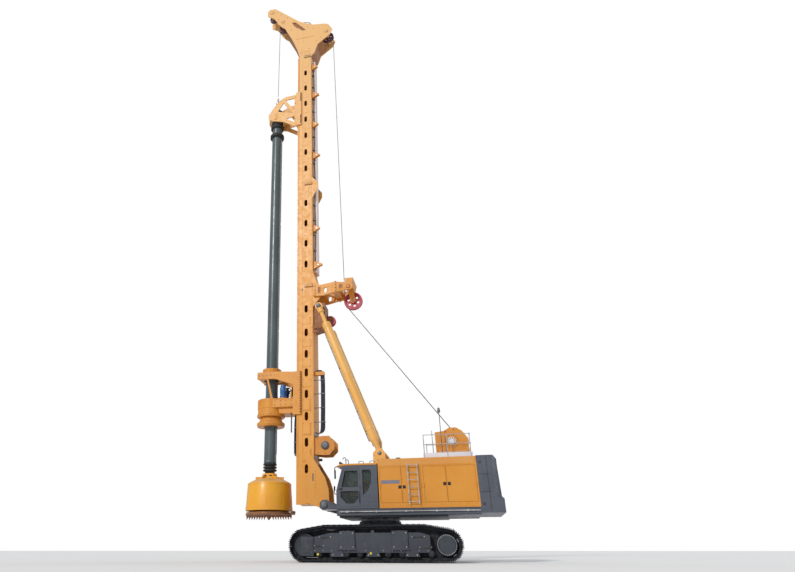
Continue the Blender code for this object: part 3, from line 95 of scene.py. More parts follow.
AXIS = Vector(((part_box("slew_ring")[0].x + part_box("slew_ring")[1].x) / 2, 0, 0))
KELLY_X = (span("kelly_bar")[0].x + span("kelly_bar")[1].x) / 2
KELLY_LOW, KELLY_HIGH = span("kelly_bar")[0].z, span("kelly_bar")[1].z
MAST_LOW = span("mast_lower")[0].z
JOINTS_Z = (span("mast_middle")[0].z, span("mast_top")[0].z, span("mast_head")[0].z)
MAST_SIDE_Y = 0.50
HOOD_SIDE_Y = 1.60
CAB_SIDE_Y = 1.62
TRACK_FRAME_SIDE_Y = 2.26
ROPE_GROOVE = 0.035         # depth of a rope's middle below a sheave's rim


# ---------------------------------------------------------------- shapes
def new_piece(name, shape, body, finish, bevel=0.0, angle=32, replaces=()):
    """Makes an object of a bmesh, gives it its finish and lets it ride on a body."""
    bmesh.ops.recalc_face_normals(shape, faces=shape.faces)
    mesh = bpy.data.meshes.new(name)
    shape.to_mesh(mesh)
    shape.free()
    mesh.transform(Matrix.Translation(AXIS))
    obj = bpy.data.objects.new(name, mesh)
    bpy.context.scene.collection.objects.link(obj)
    mesh.materials.append(FINISH[finish])
    mesh.shade_smooth()
    mesh.set_sharp_from_angle(angle=math.radians(angle))
    if bevel:
        edge = obj.modifiers.new("edges", "BEVEL")
        edge.width = bevel
        edge.segments = 2
        edge.limit_method = "ANGLE"
        edge.angle_limit = math.radians(40)
        edge.harden_normals = True
    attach(obj, body)
    if replaces:
        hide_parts(*replaces)
    return obj


def turn_to(direction):
    """The turn that brings the Z axis to a direction."""
    return Vector((0, 0, 1)).rotation_difference(Vector(direction)).to_matrix().to_4x4()


def box(shape, x, y, z, turn=None):
    """A box between the two ends given for each axis, turned about its centre if turn is given."""
    ends = [sorted(pair) for pair in (x, y, z)]
    centre = Vector([(low + high) / 2 for low, high in ends])
    size = Matrix.Diagonal((*[high - low for low, high in ends], 1))
    place = Matrix.Translation(centre) @ (turn or Matrix.Identity(4)) @ size
    bmesh.ops.create_cube(shape, size=1, matrix=place)


def cube(shape, place, size):
    """A box of the given size, put in place by a matrix."""
    bmesh.ops.create_cube(shape, size=1, matrix=place @ Matrix.Diagonal((*size, 1)))


def rod(shape, start, end, radius, end_radius=None, sides=24):
    """A round bar or cone between two points."""
    start, end = Vector(start), Vector(end)
    place = Matrix.Translation((start + end) / 2) @ turn_to(end - start)
    bmesh.ops.create_cone(shape, cap_ends=True, segments=sides, radius1=radius,
                          radius2=radius if end_radius is None else end_radius,
                          depth=(end - start).length, matrix=place)


def turned(shape, profile, place=(0, 0, 0), direction=(0, 0, 1), sides=48, closed=True):
    """A turned shape from (radius, height) pairs, closed into a ring or left open."""
    matrix = Matrix.Translation(place) @ turn_to(direction)
    rings = []
    for radius, height in profile:
        if radius < 1e-6:
            rings.append([shape.verts.new(matrix @ Vector((0, 0, height)))] * sides)
            continue
        rings.append([shape.verts.new(matrix @ Vector((radius * math.cos(2 * math.pi * i / sides),
                                                       radius * math.sin(2 * math.pi * i / sides), height)))
                      for i in range(sides)])
    pairs = list(zip(rings, rings[1:]))
    if closed:
        pairs.append((rings[-1], rings[0]))
    for near, far in pairs:
        for i in range(sides):
            j = (i + 1) % sides
            corners = list(dict.fromkeys((near[i], near[j], far[j], far[i])))
            if len(corners) > 2:
                shape.faces.new(corners)


IN_PLANE = {
    "XZ": lambda u, v, w: (u, w, v),
    "YZ": lambda u, v, w: (w, u, v),
    "XY": lambda u, v, w: (u, v, w),
}


def plate(shape, outlines, span_ends, plane="XZ"):
    """A flat plate with one outline, or several with the holes among them."""
    levels = []
    for level in span_ends:
        levels.append([[shape.verts.new(IN_PLANE[plane](u, v, level)) for u, v in outline]
                       for outline in outlines])
    for near, far in zip(*levels):
        for i in range(len(near)):
            j = (i + 1) % len(near)
            shape.faces.new((near[i], near[j], far[j], far[i]))
    for loops in levels:
        if len(loops) == 1:
            shape.faces.new(loops[0])
            continue
        edges = [shape.edges.get((loop[i], loop[(i + 1) % len(loop)])) for loop in loops
                 for i in range(len(loop))]
        bmesh.ops.triangle_fill(shape, edges=edges, use_beauty=True)


def smooth_line(points, steps=6):
    """Points on a smooth curve through the given points."""
    points = [Vector(p) for p in points]
    padded = [points[0] * 2 - points[1], *points, points[-1] * 2 - points[-2]]
    line = []
    for a, b, c, d in zip(padded, padded[1:], padded[2:], padded[3:]):
        for i in range(steps):
            t = i / steps
            line.append(0.5 * (2 * b + (c - a) * t + (2 * a - 5 * b + 4 * c - d) * t * t
                               + (3 * b - a - 3 * c + d) * t ** 3))
    return line + [points[-1]]


def tube(shape, points, radius, sides=10):
    """A round tube with flat ends along a line of points."""
    points = [Vector(p) for p in points]
    normal = None
    rings = []
    for i, point in enumerate(points):
        way = (points[min(i + 1, len(points) - 1)] - points[max(i - 1, 0)]).normalized()
        if normal is None:
            normal = way.orthogonal().normalized()
        normal = (normal - way * normal.dot(way)).normalized()
        other = way.cross(normal)
        rings.append([shape.verts.new(point + radius * (math.cos(a) * normal + math.sin(a) * other))
                      for a in (2 * math.pi * k / sides for k in range(sides))])
    for near, far in zip(rings, rings[1:]):
        for i in range(sides):
            j = (i + 1) % sides
            shape.faces.new((near[i], near[j], far[j], far[i]))
    shape.faces.new(rings[0])
    shape.faces.new(list(reversed(rings[-1])))


def bolt_ring(middle, y, radius, count):
    """Bolts round a middle on a side face, as (point, way out) pairs; y tells the side and the face."""
    ring = circle(middle[0], middle[-1], radius, count)
    return [((x, y, z), (0, math.copysign(1, y), 0)) for x, z in ring]


def bolt(shape, point, way, size=0.022):
    """A hexagon bolt with its washer; way points out of the surface."""
    point, way = Vector(point), Vector(way).normalized()
    rod(shape, point, point + way * size * 0.25, size * 1.05, sides=12)
    rod(shape, point + way * size * 0.25, point + way * size, size * 0.72, sides=6)


def circle(x, z, radius, steps=24):
    """Evenly spaced points on a circle, for an outline or a ring of bolts."""
    return [(x + radius * math.cos(2 * math.pi * i / steps), z + radius * math.sin(2 * math.pi * i / steps))
            for i in range(steps)]


def toothed(x, z, teeth, corners):
    """A gear's outline; corners holds each tooth's (share of the pitch, radius) pairs."""
    outline = []
    for i in range(teeth):
        for share, radius in corners:
            angle = 2 * math.pi * (i + share) / teeth
            outline.append((x + radius * math.cos(angle), z + radius * math.sin(angle)))
    return outline


def band(outline, width):
    """An outline and the same drawn smaller, for a border strip."""
    centre = sum((Vector(p) for p in outline), Vector((0, 0))) / len(outline)
    inner = []
    for i, point in enumerate(outline):
        before = (Vector(point) - Vector(outline[i - 1])).normalized()
        after = (Vector(outline[(i + 1) % len(outline)]) - Vector(point)).normalized()
        side = Vector((-before.y - after.y, before.x + after.x)).normalized()
        if side.dot(centre - Vector(point)) < 0:
            side = -side
        slant = max(0.5, abs(side.dot(Vector((-before.y, before.x)))))
        inner.append(tuple(Vector(point) + side * width / slant))
    return [list(outline), inner]


# ---------------------------------------------------------------- finishes
class Nodes:
    """Short calls for building a material's node tree."""

    def __init__(self, name):
        self.material = bpy.data.materials.new(name)
        self.material.use_nodes = True
        self.tree = self.material.node_tree
        self.shader = self.tree.nodes["Principled BSDF"]

    def node(self, kind, **settings):
        made = self.tree.nodes.new(kind)
        for key, value in settings.items():
            setattr(made, key, value)
        return made

    def link(self, source, target):
        self.tree.links.new(source, target)

    def coordinates(self, scale=(1, 1, 1)):
        """Object coordinates, scaled."""
        place = self.node("ShaderNodeTexCoord")
        mapping = self.node("ShaderNodeMapping")
        mapping.inputs["Scale"].default_value = scale
        self.link(place.outputs["Object"], mapping.inputs["Vector"])
        return mapping.outputs["Vector"]

    def noise(self, scale, detail=4.0, stretch=(1, 1, 1), roughness=0.55):
        """A noise texture's value."""
        texture = self.node("ShaderNodeTexNoise")
        texture.inputs["Scale"].default_value = scale
        texture.inputs["Detail"].default_value = detail
        texture.inputs["Roughness"].default_value = roughness
        self.link(self.coordinates(stretch), texture.inputs["Vector"])
        return texture.outputs["Fac"]

    def ramp(self, value, low, high, to_low=0.0, to_high=1.0):
        """A value mapped smoothly from one range to another."""
        mapped = self.node("ShaderNodeMapRange")
        mapped.interpolation_type = "SMOOTHSTEP"
        for key, number in (("From Min", low), ("From Max", high), ("To Min", to_low), ("To Max", to_high)):
            mapped.inputs[key].default_value = number
        self.link(value, mapped.inputs["Value"])
        return mapped.outputs["Result"]

    def times(self, a, b):
        """Two values multiplied."""
        product = self.node("ShaderNodeMath", operation="MULTIPLY")
        self.link(a, product.inputs[0])
        if isinstance(b, float):
            product.inputs[1].default_value = b
        else:
            self.link(b, product.inputs[1])
        return product.outputs["Value"]

    def mix(self, share, first, second):
        """Mixes two colours; each is a colour or an output."""
        mixed = self.node("ShaderNodeMix", data_type="RGBA")
        self.link(share, mixed.inputs["Factor"])
        for value, socket in ((first, mixed.inputs[6]), (second, mixed.inputs[7])):
            if isinstance(value, tuple):
                socket.default_value = (*value, 1)
            else:
                self.link(value, socket)
        return mixed.outputs[2]

    def height(self, axis="Z"):
        """The place along one axis."""
        apart = self.node("ShaderNodeSeparateXYZ")
        self.link(self.coordinates(), apart.inputs["Vector"])
        return apart.outputs[axis]

    def facing_up(self):
        """How much a surface faces up, for dust."""
        normal = self.node("ShaderNodeNewGeometry")
        apart = self.node("ShaderNodeSeparateXYZ")
        self.link(normal.outputs["Normal"], apart.inputs["Vector"])
        return self.ramp(apart.outputs["Z"], 0.2, 0.95)

    def bump(self, height, strength, distance, before=None):
        """A bumped normal."""
        made = self.node("ShaderNodeBump")
        made.inputs["Strength"].default_value = strength
        made.inputs["Distance"].default_value = distance
        self.link(height, made.inputs["Height"])
        if before:
            self.link(before, made.inputs["Normal"])
        return made.outputs["Normal"]

    def done(self, colour, roughness, normal, metallic=0.0):
        """Links the shader and hands back the material."""
        self.link(colour, self.shader.inputs["Base Color"])
        self.link(roughness, self.shader.inputs["Roughness"])
        self.link(normal, self.shader.inputs["Normal"])
        self.shader.inputs["Metallic"].default_value = metallic
        return self.material


def shade(colour, factor):
    """A colour made lighter or darker."""
    return tuple(min(1.0, c * factor) for c in colour)


def enamel(name, colour, second, roughness=0.42, dirt=(0.16, 0.10, 0.05), dirt_share=0.35,
           chip=(0.10, 0.08, 0.07), chips=0.6, painted_light_tone=None, painted_light_from=10.0, painted_light_to=28.0, coat=0.25):
    """Machine enamel: patchy tone, rain streaks, dust on top, chips, orange-peel and shallow dents; with a pale
    tone given for painted light, the colour also grows paler with height, a painted highlight.
    """
    n = Nodes(name)
    tone = n.mix(n.ramp(n.noise(0.55, 5.0), 0.35, 0.68), colour, second)
    # Painted light: between two heights the colour fades to a paler tone, standing in for the stronger light on
    # high parts.
    if painted_light_tone:
        tone = n.mix(n.ramp(n.height(), painted_light_from, painted_light_to), tone, painted_light_tone)
    streaks = n.ramp(n.noise(2.6, 5.0, (3.0, 3.0, 0.16)), 0.52, 0.74)
    tone = n.mix(n.times(streaks, dirt_share * 0.45), tone, shade(colour, 0.62))
    patches = n.ramp(n.noise(3.2, 8.0, roughness=0.7), 0.58, 0.76)
    tone = n.mix(n.times(patches, dirt_share * 0.55), tone, dirt)
    tone = n.mix(n.times(n.facing_up(), 0.22), tone, (0.62, 0.56, 0.47))
    worn = n.times(n.ramp(n.noise(46.0, 3.0), 0.70, 0.73), n.ramp(n.noise(2.1, 3.0), 0.50, 0.62))
    tone = n.mix(n.times(worn, chips), tone, chip)
    rough = n.ramp(n.noise(5.5, 6.0), 0.3, 0.75, roughness - 0.09, roughness + 0.16)
    normal = n.bump(n.noise(210.0, 2.0), 0.07, 0.002)
    normal = n.bump(n.noise(1.7, 2.0), 0.12, 0.02, normal)
    n.shader.inputs["Coat Weight"].default_value = coat
    n.shader.inputs["Coat Roughness"].default_value = 0.22
    return n.done(tone, rough, normal)


def bare_metal(name, colour, dark, roughness=0.38, metallic=0.9, grain=(1, 1, 1)):
    """Steel with a fine grain, darker blotches and a little rust."""
    n = Nodes(name)
    tone = n.mix(n.ramp(n.noise(4.0, 8.0, grain), 0.35, 0.7), colour, dark)
    tone = n.mix(n.times(n.ramp(n.noise(9.0, 6.0), 0.62, 0.78), 0.5), tone, (0.16, 0.075, 0.035))
    rough = n.ramp(n.noise(14.0, 6.0, grain), 0.3, 0.75, roughness - 0.1, roughness + 0.2)
    normal = n.bump(n.noise(120.0, 3.0, grain), 0.12, 0.002)
    return n.done(tone, rough, normal, metallic)


def rough_casting(name, colour, dust, share=0.5, roughness=0.72, low=0.0, high=1.4):
    """Track and casting steel: coarse skin, polished patches and dried mud that thins with height."""
    n = Nodes(name)
    tone = n.mix(n.ramp(n.noise(6.0, 8.0), 0.35, 0.7), colour, shade(colour, 2.1))
    mud = n.times(n.ramp(n.noise(3.4, 9.0, roughness=0.7), 0.5, 0.72),
                  n.ramp(n.height(), low, high, 1.0, 0.35))
    tone = n.mix(n.times(mud, share), tone, dust)
    rough = n.ramp(n.noise(9.0, 5.0), 0.3, 0.7, roughness - 0.22, roughness + 0.14)
    normal = n.bump(n.noise(70.0, 6.0), 0.35, 0.004)
    return n.done(tone, rough, normal, 0.25)


def rubber(name, colour, ribs=0.0):
    """Rubber or plastic: dull, dusty on top, ribbed along hoses."""
    n = Nodes(name)
    tone = n.mix(n.ramp(n.noise(7.0, 6.0), 0.35, 0.75), colour, shade(colour, 2.6))
    tone = n.mix(n.times(n.facing_up(), 0.25), tone, (0.20, 0.18, 0.16))
    rough = n.ramp(n.noise(20.0, 4.0), 0.3, 0.7, 0.52, 0.82)
    normal = n.bump(n.noise(90.0 + ribs, 3.0, (1, 1, 1 + ribs)), 0.2, 0.003)
    return n.done(tone, rough, normal)


def seat_cloth(name, colour):
    """Woven seat cloth."""
    n = Nodes(name)
    weave = n.node("ShaderNodeTexWave")
    weave.inputs["Scale"].default_value = 260.0
    weave.inputs["Distortion"].default_value = 1.2
    n.link(n.coordinates((1, 1, 0.6)), weave.inputs["Vector"])
    tone = n.mix(n.ramp(n.noise(30.0, 5.0), 0.3, 0.7), colour, shade(colour, 1.9))
    rough = n.ramp(n.noise(12.0, 3.0), 0.3, 0.7, 0.78, 0.95)
    n.shader.inputs["Sheen Weight"].default_value = 0.3
    return n.done(tone, rough, n.bump(weave.outputs["Fac"], 0.3, 0.001))


def pane(name, tint):
    """Tinted cab glass: mostly see-through, with a film of dust."""
    n = Nodes(name)
    tone = n.mix(n.ramp(n.noise(2.2, 7.0), 0.45, 0.75), tint, shade(tint, 0.55))
    rough = n.ramp(n.noise(5.0, 6.0), 0.4, 0.8, 0.03, 0.16)
    n.shader.inputs["Transmission Weight"].default_value = 0.94
    n.shader.inputs["IOR"].default_value = 1.45
    n.shader.inputs["Coat Weight"].default_value = 0.6
    return n.done(tone, rough, n.bump(n.noise(1.1, 2.0), 0.05, 0.004))


YELLOW = (0.80, 0.375, 0.060)
YELLOW_DEEP = (0.74, 0.315, 0.040)
# A pale yellow used as painted light on the upper mast.
PAINTED_LIGHT_YELLOW = (0.80, 0.455, 0.165)
SLATE = (0.050, 0.061, 0.088)
SLATE_PALE = (0.078, 0.090, 0.120)
FINISH = {
    # mast_paint grows paler from 10 m to 28 m up: painted light on the upper mast.
    "mast_paint": enamel("mast_paint", (0.71, 0.300, 0.036), (0.74, 0.335, 0.055), painted_light_tone=PAINTED_LIGHT_YELLOW,
                         coat=0.1),
    "gear_paint": enamel("gear_paint", (0.70, 0.290, 0.030), (0.60, 0.220, 0.020), dirt_share=0.5, chips=0.8,
                         coat=0.1),
    "strut_paint": enamel("strut_paint", (0.84, 0.46, 0.12), (0.80, 0.39, 0.075), dirt_share=0.25, coat=0.4),
    "hood_paint": enamel("hood_paint", (0.64, 0.245, 0.014), (0.67, 0.280, 0.024), dirt_share=0.22, chips=0.3,
                         roughness=0.42, coat=0.15),
    "bucket_paint": enamel("bucket_paint", (0.84, 0.400, 0.020), (0.78, 0.340, 0.018), dirt_share=0.4,
                           chips=1.0, coat=0.3),
    # shaded_paint is a dark brown-orange that paints shade: on the mast head's closing plates and inner sheets, the
    # strut head box and the fills in the arms' openings; it is also the plain colour of the joint shims, the mast
    # lamps and the arms' caps.
    "shaded_paint": enamel("shaded_paint", (0.34, 0.125, 0.035), (0.27, 0.10, 0.035), roughness=0.55,
                           dirt_share=0.6, coat=0.0),
    "slate_paint": enamel("slate_paint", SLATE, SLATE_PALE, roughness=0.46, dirt=(0.20, 0.19, 0.18),
                          dirt_share=0.28, chip=(0.25, 0.25, 0.26), chips=0.3, coat=0.3),
    "frame_paint": enamel("frame_paint", (0.020, 0.027, 0.042), (0.036, 0.044, 0.062), roughness=0.52,
                          dirt=(0.17, 0.15, 0.12), dirt_share=0.55, chip=(0.22, 0.20, 0.18), chips=0.5,
                          coat=0.1),
    "kelly_paint": enamel("kelly_paint", (0.060, 0.088, 0.100), (0.085, 0.115, 0.125), roughness=0.36,
                          dirt=(0.03, 0.035, 0.035), dirt_share=0.5, chip=(0.30, 0.31, 0.32), chips=0.5,
                          coat=0.3),
    "red_paint": enamel("red_paint", (0.46, 0.030, 0.055), (0.36, 0.022, 0.05), dirt_share=0.4, chips=0.8),
    "purple_paint": enamel("purple_paint", (0.105, 0.040, 0.075), (0.075, 0.032, 0.055), dirt_share=0.5),
    "blue_paint": enamel("blue_paint", (0.020, 0.130, 0.42), (0.016, 0.085, 0.30), dirt_share=0.4, chips=0.4),
    "pale_paint": enamel("pale_paint", (0.74, 0.74, 0.80), (0.66, 0.66, 0.72), dirt=(0.45, 0.42, 0.40),
                         dirt_share=0.3, chips=0.3, coat=0.1),
    "tray_paint": enamel("tray_paint", (0.80, 0.66, 0.60), (0.74, 0.60, 0.55), dirt=(0.42, 0.30, 0.24),
                         dirt_share=0.35, coat=0.0),
    "band_paint": enamel("band_paint", (0.19, 0.18, 0.22), (0.16, 0.155, 0.19), dirt_share=0.1, chips=0.2),
    "marker_paint": enamel("marker_paint", (0.78, 0.66, 0.04), (0.70, 0.58, 0.03), dirt_share=0.3),
    "steel": bare_metal("steel", (0.62, 0.62, 0.64), (0.42, 0.42, 0.43)),
    "dark_steel": bare_metal("dark_steel", (0.16, 0.17, 0.19), (0.07, 0.075, 0.085), 0.45, 0.7),
    "polished": bare_metal("polished", (0.80, 0.80, 0.82), (0.66, 0.66, 0.68), 0.2, 1.0, (1, 1, 0.2)),
    "rope": bare_metal("rope", (0.20, 0.20, 0.21), (0.09, 0.09, 0.10), 0.5, 0.6, (1, 1, 0.3)),
    "track_steel": rough_casting("track_steel", (0.011, 0.013, 0.018), (0.085, 0.075, 0.06)),
    "worn_teeth": rough_casting("worn_teeth", (0.20, 0.085, 0.035), (0.33, 0.17, 0.08), 0.6, 0.6, 1.2, 2.4),
    "black_rubber": rubber("black_rubber", (0.012, 0.012, 0.013)),
    "hose_rubber": rubber("hose_rubber", (0.020, 0.023, 0.030), 3.0),
    "seat_cloth": seat_cloth("seat_cloth", (0.030, 0.032, 0.038)),
    "cab_glass": pane("cab_glass", (0.22, 0.30, 0.27)),
    "lamp_glass": pane("lamp_glass", (0.85, 0.85, 0.80)),
}

# what each kept node is finished with; the first name that fits a node's start is taken
KEPT = (
    ("left_track_frame", "frame_paint"), ("right_track_frame", "frame_paint"), ("car_body", "frame_paint"),
    ("main_deck", "slate_paint"), ("engine_hood", "hood_paint"), ("left_hood_door", "hood_paint"),
    ("right_hood_door", "hood_paint"), ("counterweight", "slate_paint"), ("cab_shell", "slate_paint"),
    ("cab_door", "slate_paint"), ("door_window", "cab_glass"), ("quarter_window", "cab_glass"),
    ("right_window", "cab_glass"), ("windscreen", "cab_glass"), ("cab_roof_guard", "hood_paint"),
    ("control_console", "black_rubber"), ("engine_block", "dark_steel"), ("fuel_tank", "hood_paint"),
    ("strut_support", "strut_paint"), ("main_winch_frame", "gear_paint"), ("low_winch_frame", "gear_paint"),
    ("mast_lower", "mast_paint"), ("mast_middle", "mast_paint"), ("mast_top", "mast_paint"),
    # The strut head box gets shaded_paint, whose dark brown is painted shade.
    ("mast_head", "mast_paint"), ("mast_arms", "gear_paint"), ("strut_head_box", "shaded_paint"),
    ("hose_tray", "tray_paint"), ("drive_sledge", "gear_paint"), ("kelly_guide", "mast_paint"),
    ("left_track", "track_steel"), ("right_track", "track_steel"),
)


def finish_kept_nodes():
    """Gives each CAD node that stays its material and softened edges."""
    for name, node in NODES.items():
        wanted = next((finish for start, finish in KEPT if name.startswith(start)), "gear_paint")
        node.data.materials.clear()
        node.data.materials.append(FINISH[wanted])
        edge = node.modifiers.new("edges", "BEVEL")
        edge.width = 0.006
        edge.segments = 2
        edge.limit_method = "ANGLE"
        edge.angle_limit = math.radians(40)
        edge.harden_normals = True


# ---------------------------------------------------------------- stage
def stage():
    """The pale floor, the white backdrop and two soft lights."""
    floor_mesh = bmesh.new()
    bmesh.ops.create_grid(floor_mesh, x_segments=1, y_segments=1, size=400)
    mesh = bpy.data.meshes.new("floor")
    floor_mesh.to_mesh(mesh)
    floor_mesh.free()
    floor = bpy.data.objects.new("floor", mesh)
    bpy.context.scene.collection.objects.link(floor)
    n = Nodes("studio_floor")
    tone = n.mix(n.ramp(n.noise(0.15, 3.0), 0.3, 0.7), (0.93, 0.93, 0.93), (0.90, 0.90, 0.90))
    rough = n.ramp(n.noise(2.0, 3.0), 0.3, 0.7, 0.8, 0.95)
    mesh.materials.append(n.done(tone, rough, n.bump(n.noise(8.0, 2.0), 0.02, 0.002)))

    world = bpy.data.worlds.new("studio")
    bpy.context.scene.world = world
    world.use_nodes = True
    tree = world.node_tree
    light = tree.nodes["Background"]
    light.inputs["Color"].default_value = (0.93, 0.96, 1.0, 1)
    light.inputs["Strength"].default_value = 0.50
    backdrop = tree.nodes.new("ShaderNodeBackground")
    backdrop.inputs["Color"].default_value = (1, 1, 1, 1)
    backdrop.inputs["Strength"].default_value = 1.0
    ray = tree.nodes.new("ShaderNodeLightPath")
    choose = tree.nodes.new("ShaderNodeMixShader")
    tree.links.new(ray.outputs["Is Camera Ray"], choose.inputs["Fac"])
    tree.links.new(light.outputs["Background"], choose.inputs[1])
    tree.links.new(backdrop.outputs["Background"], choose.inputs[2])
    tree.links.new(choose.outputs["Shader"], tree.nodes["World Output"].inputs["Surface"])

    for name, way, strength, angle, colour in (
            ("key", (0.42, 1.0, 0.62), 1.75, 9, (1.0, 0.96, 0.90)),
            ("fill", (-0.9, -0.75, 0.5), 0.5, 40, (0.93, 0.96, 1.0))):
        data = bpy.data.lights.new(name, "SUN")
        data.energy = strength
        data.angle = math.radians(angle)
        data.color = colour
        lamp = bpy.data.objects.new(name, data)
        lamp.rotation_mode = "QUATERNION"
        lamp.rotation_quaternion = Vector(way).to_track_quat("Z", "Y")
        bpy.context.scene.collection.objects.link(lamp)


def camera():
    """A camera close to the floor, looking up at the rig from the cab's side."""
    eye = Vector((-3.44, 24.45, 0.40))
    heading = Vector((0.2419, -0.9703, 0))
    pitch = math.radians(24.3)
    data = bpy.data.cameras.new("camera")
    data.sensor_width = 36
    data.lens = 26.5
    data.shift_x = 0.119
    data.clip_end = 1500
    cam = bpy.data.objects.new("camera", data)
    cam.location = eye
    way = heading.normalized() * math.cos(pitch) + Vector((0, 0, math.sin(pitch)))
    cam.rotation_mode = "QUATERNION"
    cam.rotation_quaternion = way.to_track_quat("-Z", "Y")
    bpy.context.scene.collection.objects.link(cam)
    bpy.context.scene.camera = cam
    bpy.context.scene.view_settings.view_transform = "Standard"


# ---------------------------------------------------------------- crawler
AXLE_X, AXLE_Z, END_RADIUS = 2.50, 0.56, 0.56
TRACK_TOP, TRACK_TOP_HALF = 1.24, 1.75
SHOE_PITCH = 0.20
SHOE_SKIN = 0.045


def loop_corners(inset, steps=14):
    """The track's outline, moved inwards by inset."""
    radius, top = END_RADIUS - inset, TRACK_TOP - inset
    away = Vector((TRACK_TOP_HALF - AXLE_X, top - AXLE_Z))
    last = math.atan2(away.y, away.x) - math.acos(radius / away.length)
    arc = []
    for i in range(steps + 1):
        angle = -math.pi / 2 + (last + math.pi / 2) * i / steps
        arc.append((AXLE_X + radius * math.cos(angle), AXLE_Z + radius * math.sin(angle)))
    front = arc + [(TRACK_TOP_HALF, top)]
    return front + [(-x, z) for x, z in reversed(front)]


def along(corners, distance):
    """The place and direction at a distance along a closed outline."""
    for i, corner in enumerate(corners):
        start, end = Vector(corner), Vector(corners[(i + 1) % len(corners)])
        length = (end - start).length
        if distance <= length:
            way = (end - start) / length
            return start + way * distance, way
        distance -= length
    return Vector(corners[0]), Vector((1, 0))


def track(side, word):
    """The crawler chain: a shoe with three grousers on every link, and the link plates and pins under it."""
    low, high = span(word + "_track")
    inner, outer = sorted((low.y, high.y))
    corners = loop_corners(0.030)
    length = sum((Vector(a) - Vector(b)).length for a, b in zip(corners, corners[1:] + corners[:1]))
    count = round(length / SHOE_PITCH)
    pitch = length / count
    shoes, links = bmesh.new(), bmesh.new()
    middle = (inner + outer) / 2
    for i in range(count):
        place, way = along(corners, (i + 0.5) * pitch)
        outward = Vector((way.y, -way.x))
        turn = Matrix(((way.x, 0, outward.x, 0), (0, 1, 0, 0), (way.y, 0, outward.y, 0), (0, 0, 0, 1)))
        centre = Matrix.Translation((place.x, 0, place.y)) @ turn

        def part(shape, u, y, n):
            size = (u[1] - u[0], abs(y[1] - y[0]), n[1] - n[0])
            mid = Vector(((u[0] + u[1]) / 2, (y[0] + y[1]) / 2, (n[0] + n[1]) / 2))
            cube(shape, centre @ Matrix.Translation(mid), size)

        part(shoes, (-pitch / 2 + 0.008, pitch / 2 - 0.004), (inner, outer), (-SHOE_SKIN, -0.018))
        for u, tall in ((-0.078, 0.028), (-0.010, 0.022), (0.060, 0.028)):
            part(shoes, (u - 0.011, u + 0.011), (inner + 0.01, outer - 0.01), (-0.02, tall))
        for y in (middle - 0.13, middle + 0.13):
            part(links, (-pitch / 2 + 0.012, pitch / 2 + 0.03), (y - 0.035, y + 0.035), (-0.135, -SHOE_SKIN))
            pin = [centre @ Vector((pitch / 2, y + reach, -0.09)) for reach in (-0.055, 0.055)]
            rod(links, *pin, 0.038, sides=10)
        for y in (inner + 0.10, outer - 0.10):
            for u in (-0.044, 0.026):
                start = centre @ Vector((u, y, -SHOE_SKIN - 0.016))
                rod(shoes, start, centre @ Vector((u, y, -SHOE_SKIN)), 0.014, sides=6)
    guide = bmesh.new()
    plate(guide, [loop_corners(0.172)], (side * 1.900, side * 1.935))
    new_piece(word + "_chain_guide", guide, "crawler", "track_steel", 0.004)
    new_piece(word + "_shoes", shoes, "crawler", "track_steel", 0.003,
              replaces=(word + "_track",))
    new_piece(word + "_chain", links, "crawler", "track_steel", 0.003)


def sprocket(side, word):
    """The toothed wheel with its drive's cover and the cover's bolts."""
    wheel = bmesh.new()
    centre_x, z = -AXLE_X, AXLE_Z
    outline = toothed(centre_x, z, 22, ((0.0, 0.345), (0.22, 0.380), (0.45, 0.380), (0.67, 0.345)))
    for y in (1.845, 2.02):
        plate(wheel, [outline], (side * y, side * (y + 0.06)))
    rod(wheel, (centre_x, side * 1.81, z), (centre_x, side * 2.09, z), 0.29, sides=48)
    new_piece(word + "_sprocket_teeth", wheel, "crawler", "track_steel", 0.004,
              replaces=(word + "_sprocket",))
    cover = bmesh.new()
    turned(cover, [(0.325, 0.0), (0.335, 0.02), (0.335, 0.10), (0.325, 0.13), (0.300, 0.145), (0.285, 0.140),
                   (0.275, 0.150), (0.0, 0.165)], (centre_x, side * 2.12, z), (0, side, 0), 64, closed=False)
    new_piece(word + "_drive_cover", cover, "crawler", "frame_paint")
    bolts = bmesh.new()
    for point, way in bolt_ring((centre_x, z), side * 2.255, 0.312, 30):
        bolt(bolts, point, way, 0.016)
    new_piece(word + "_cover_bolts", bolts, "crawler", "steel")


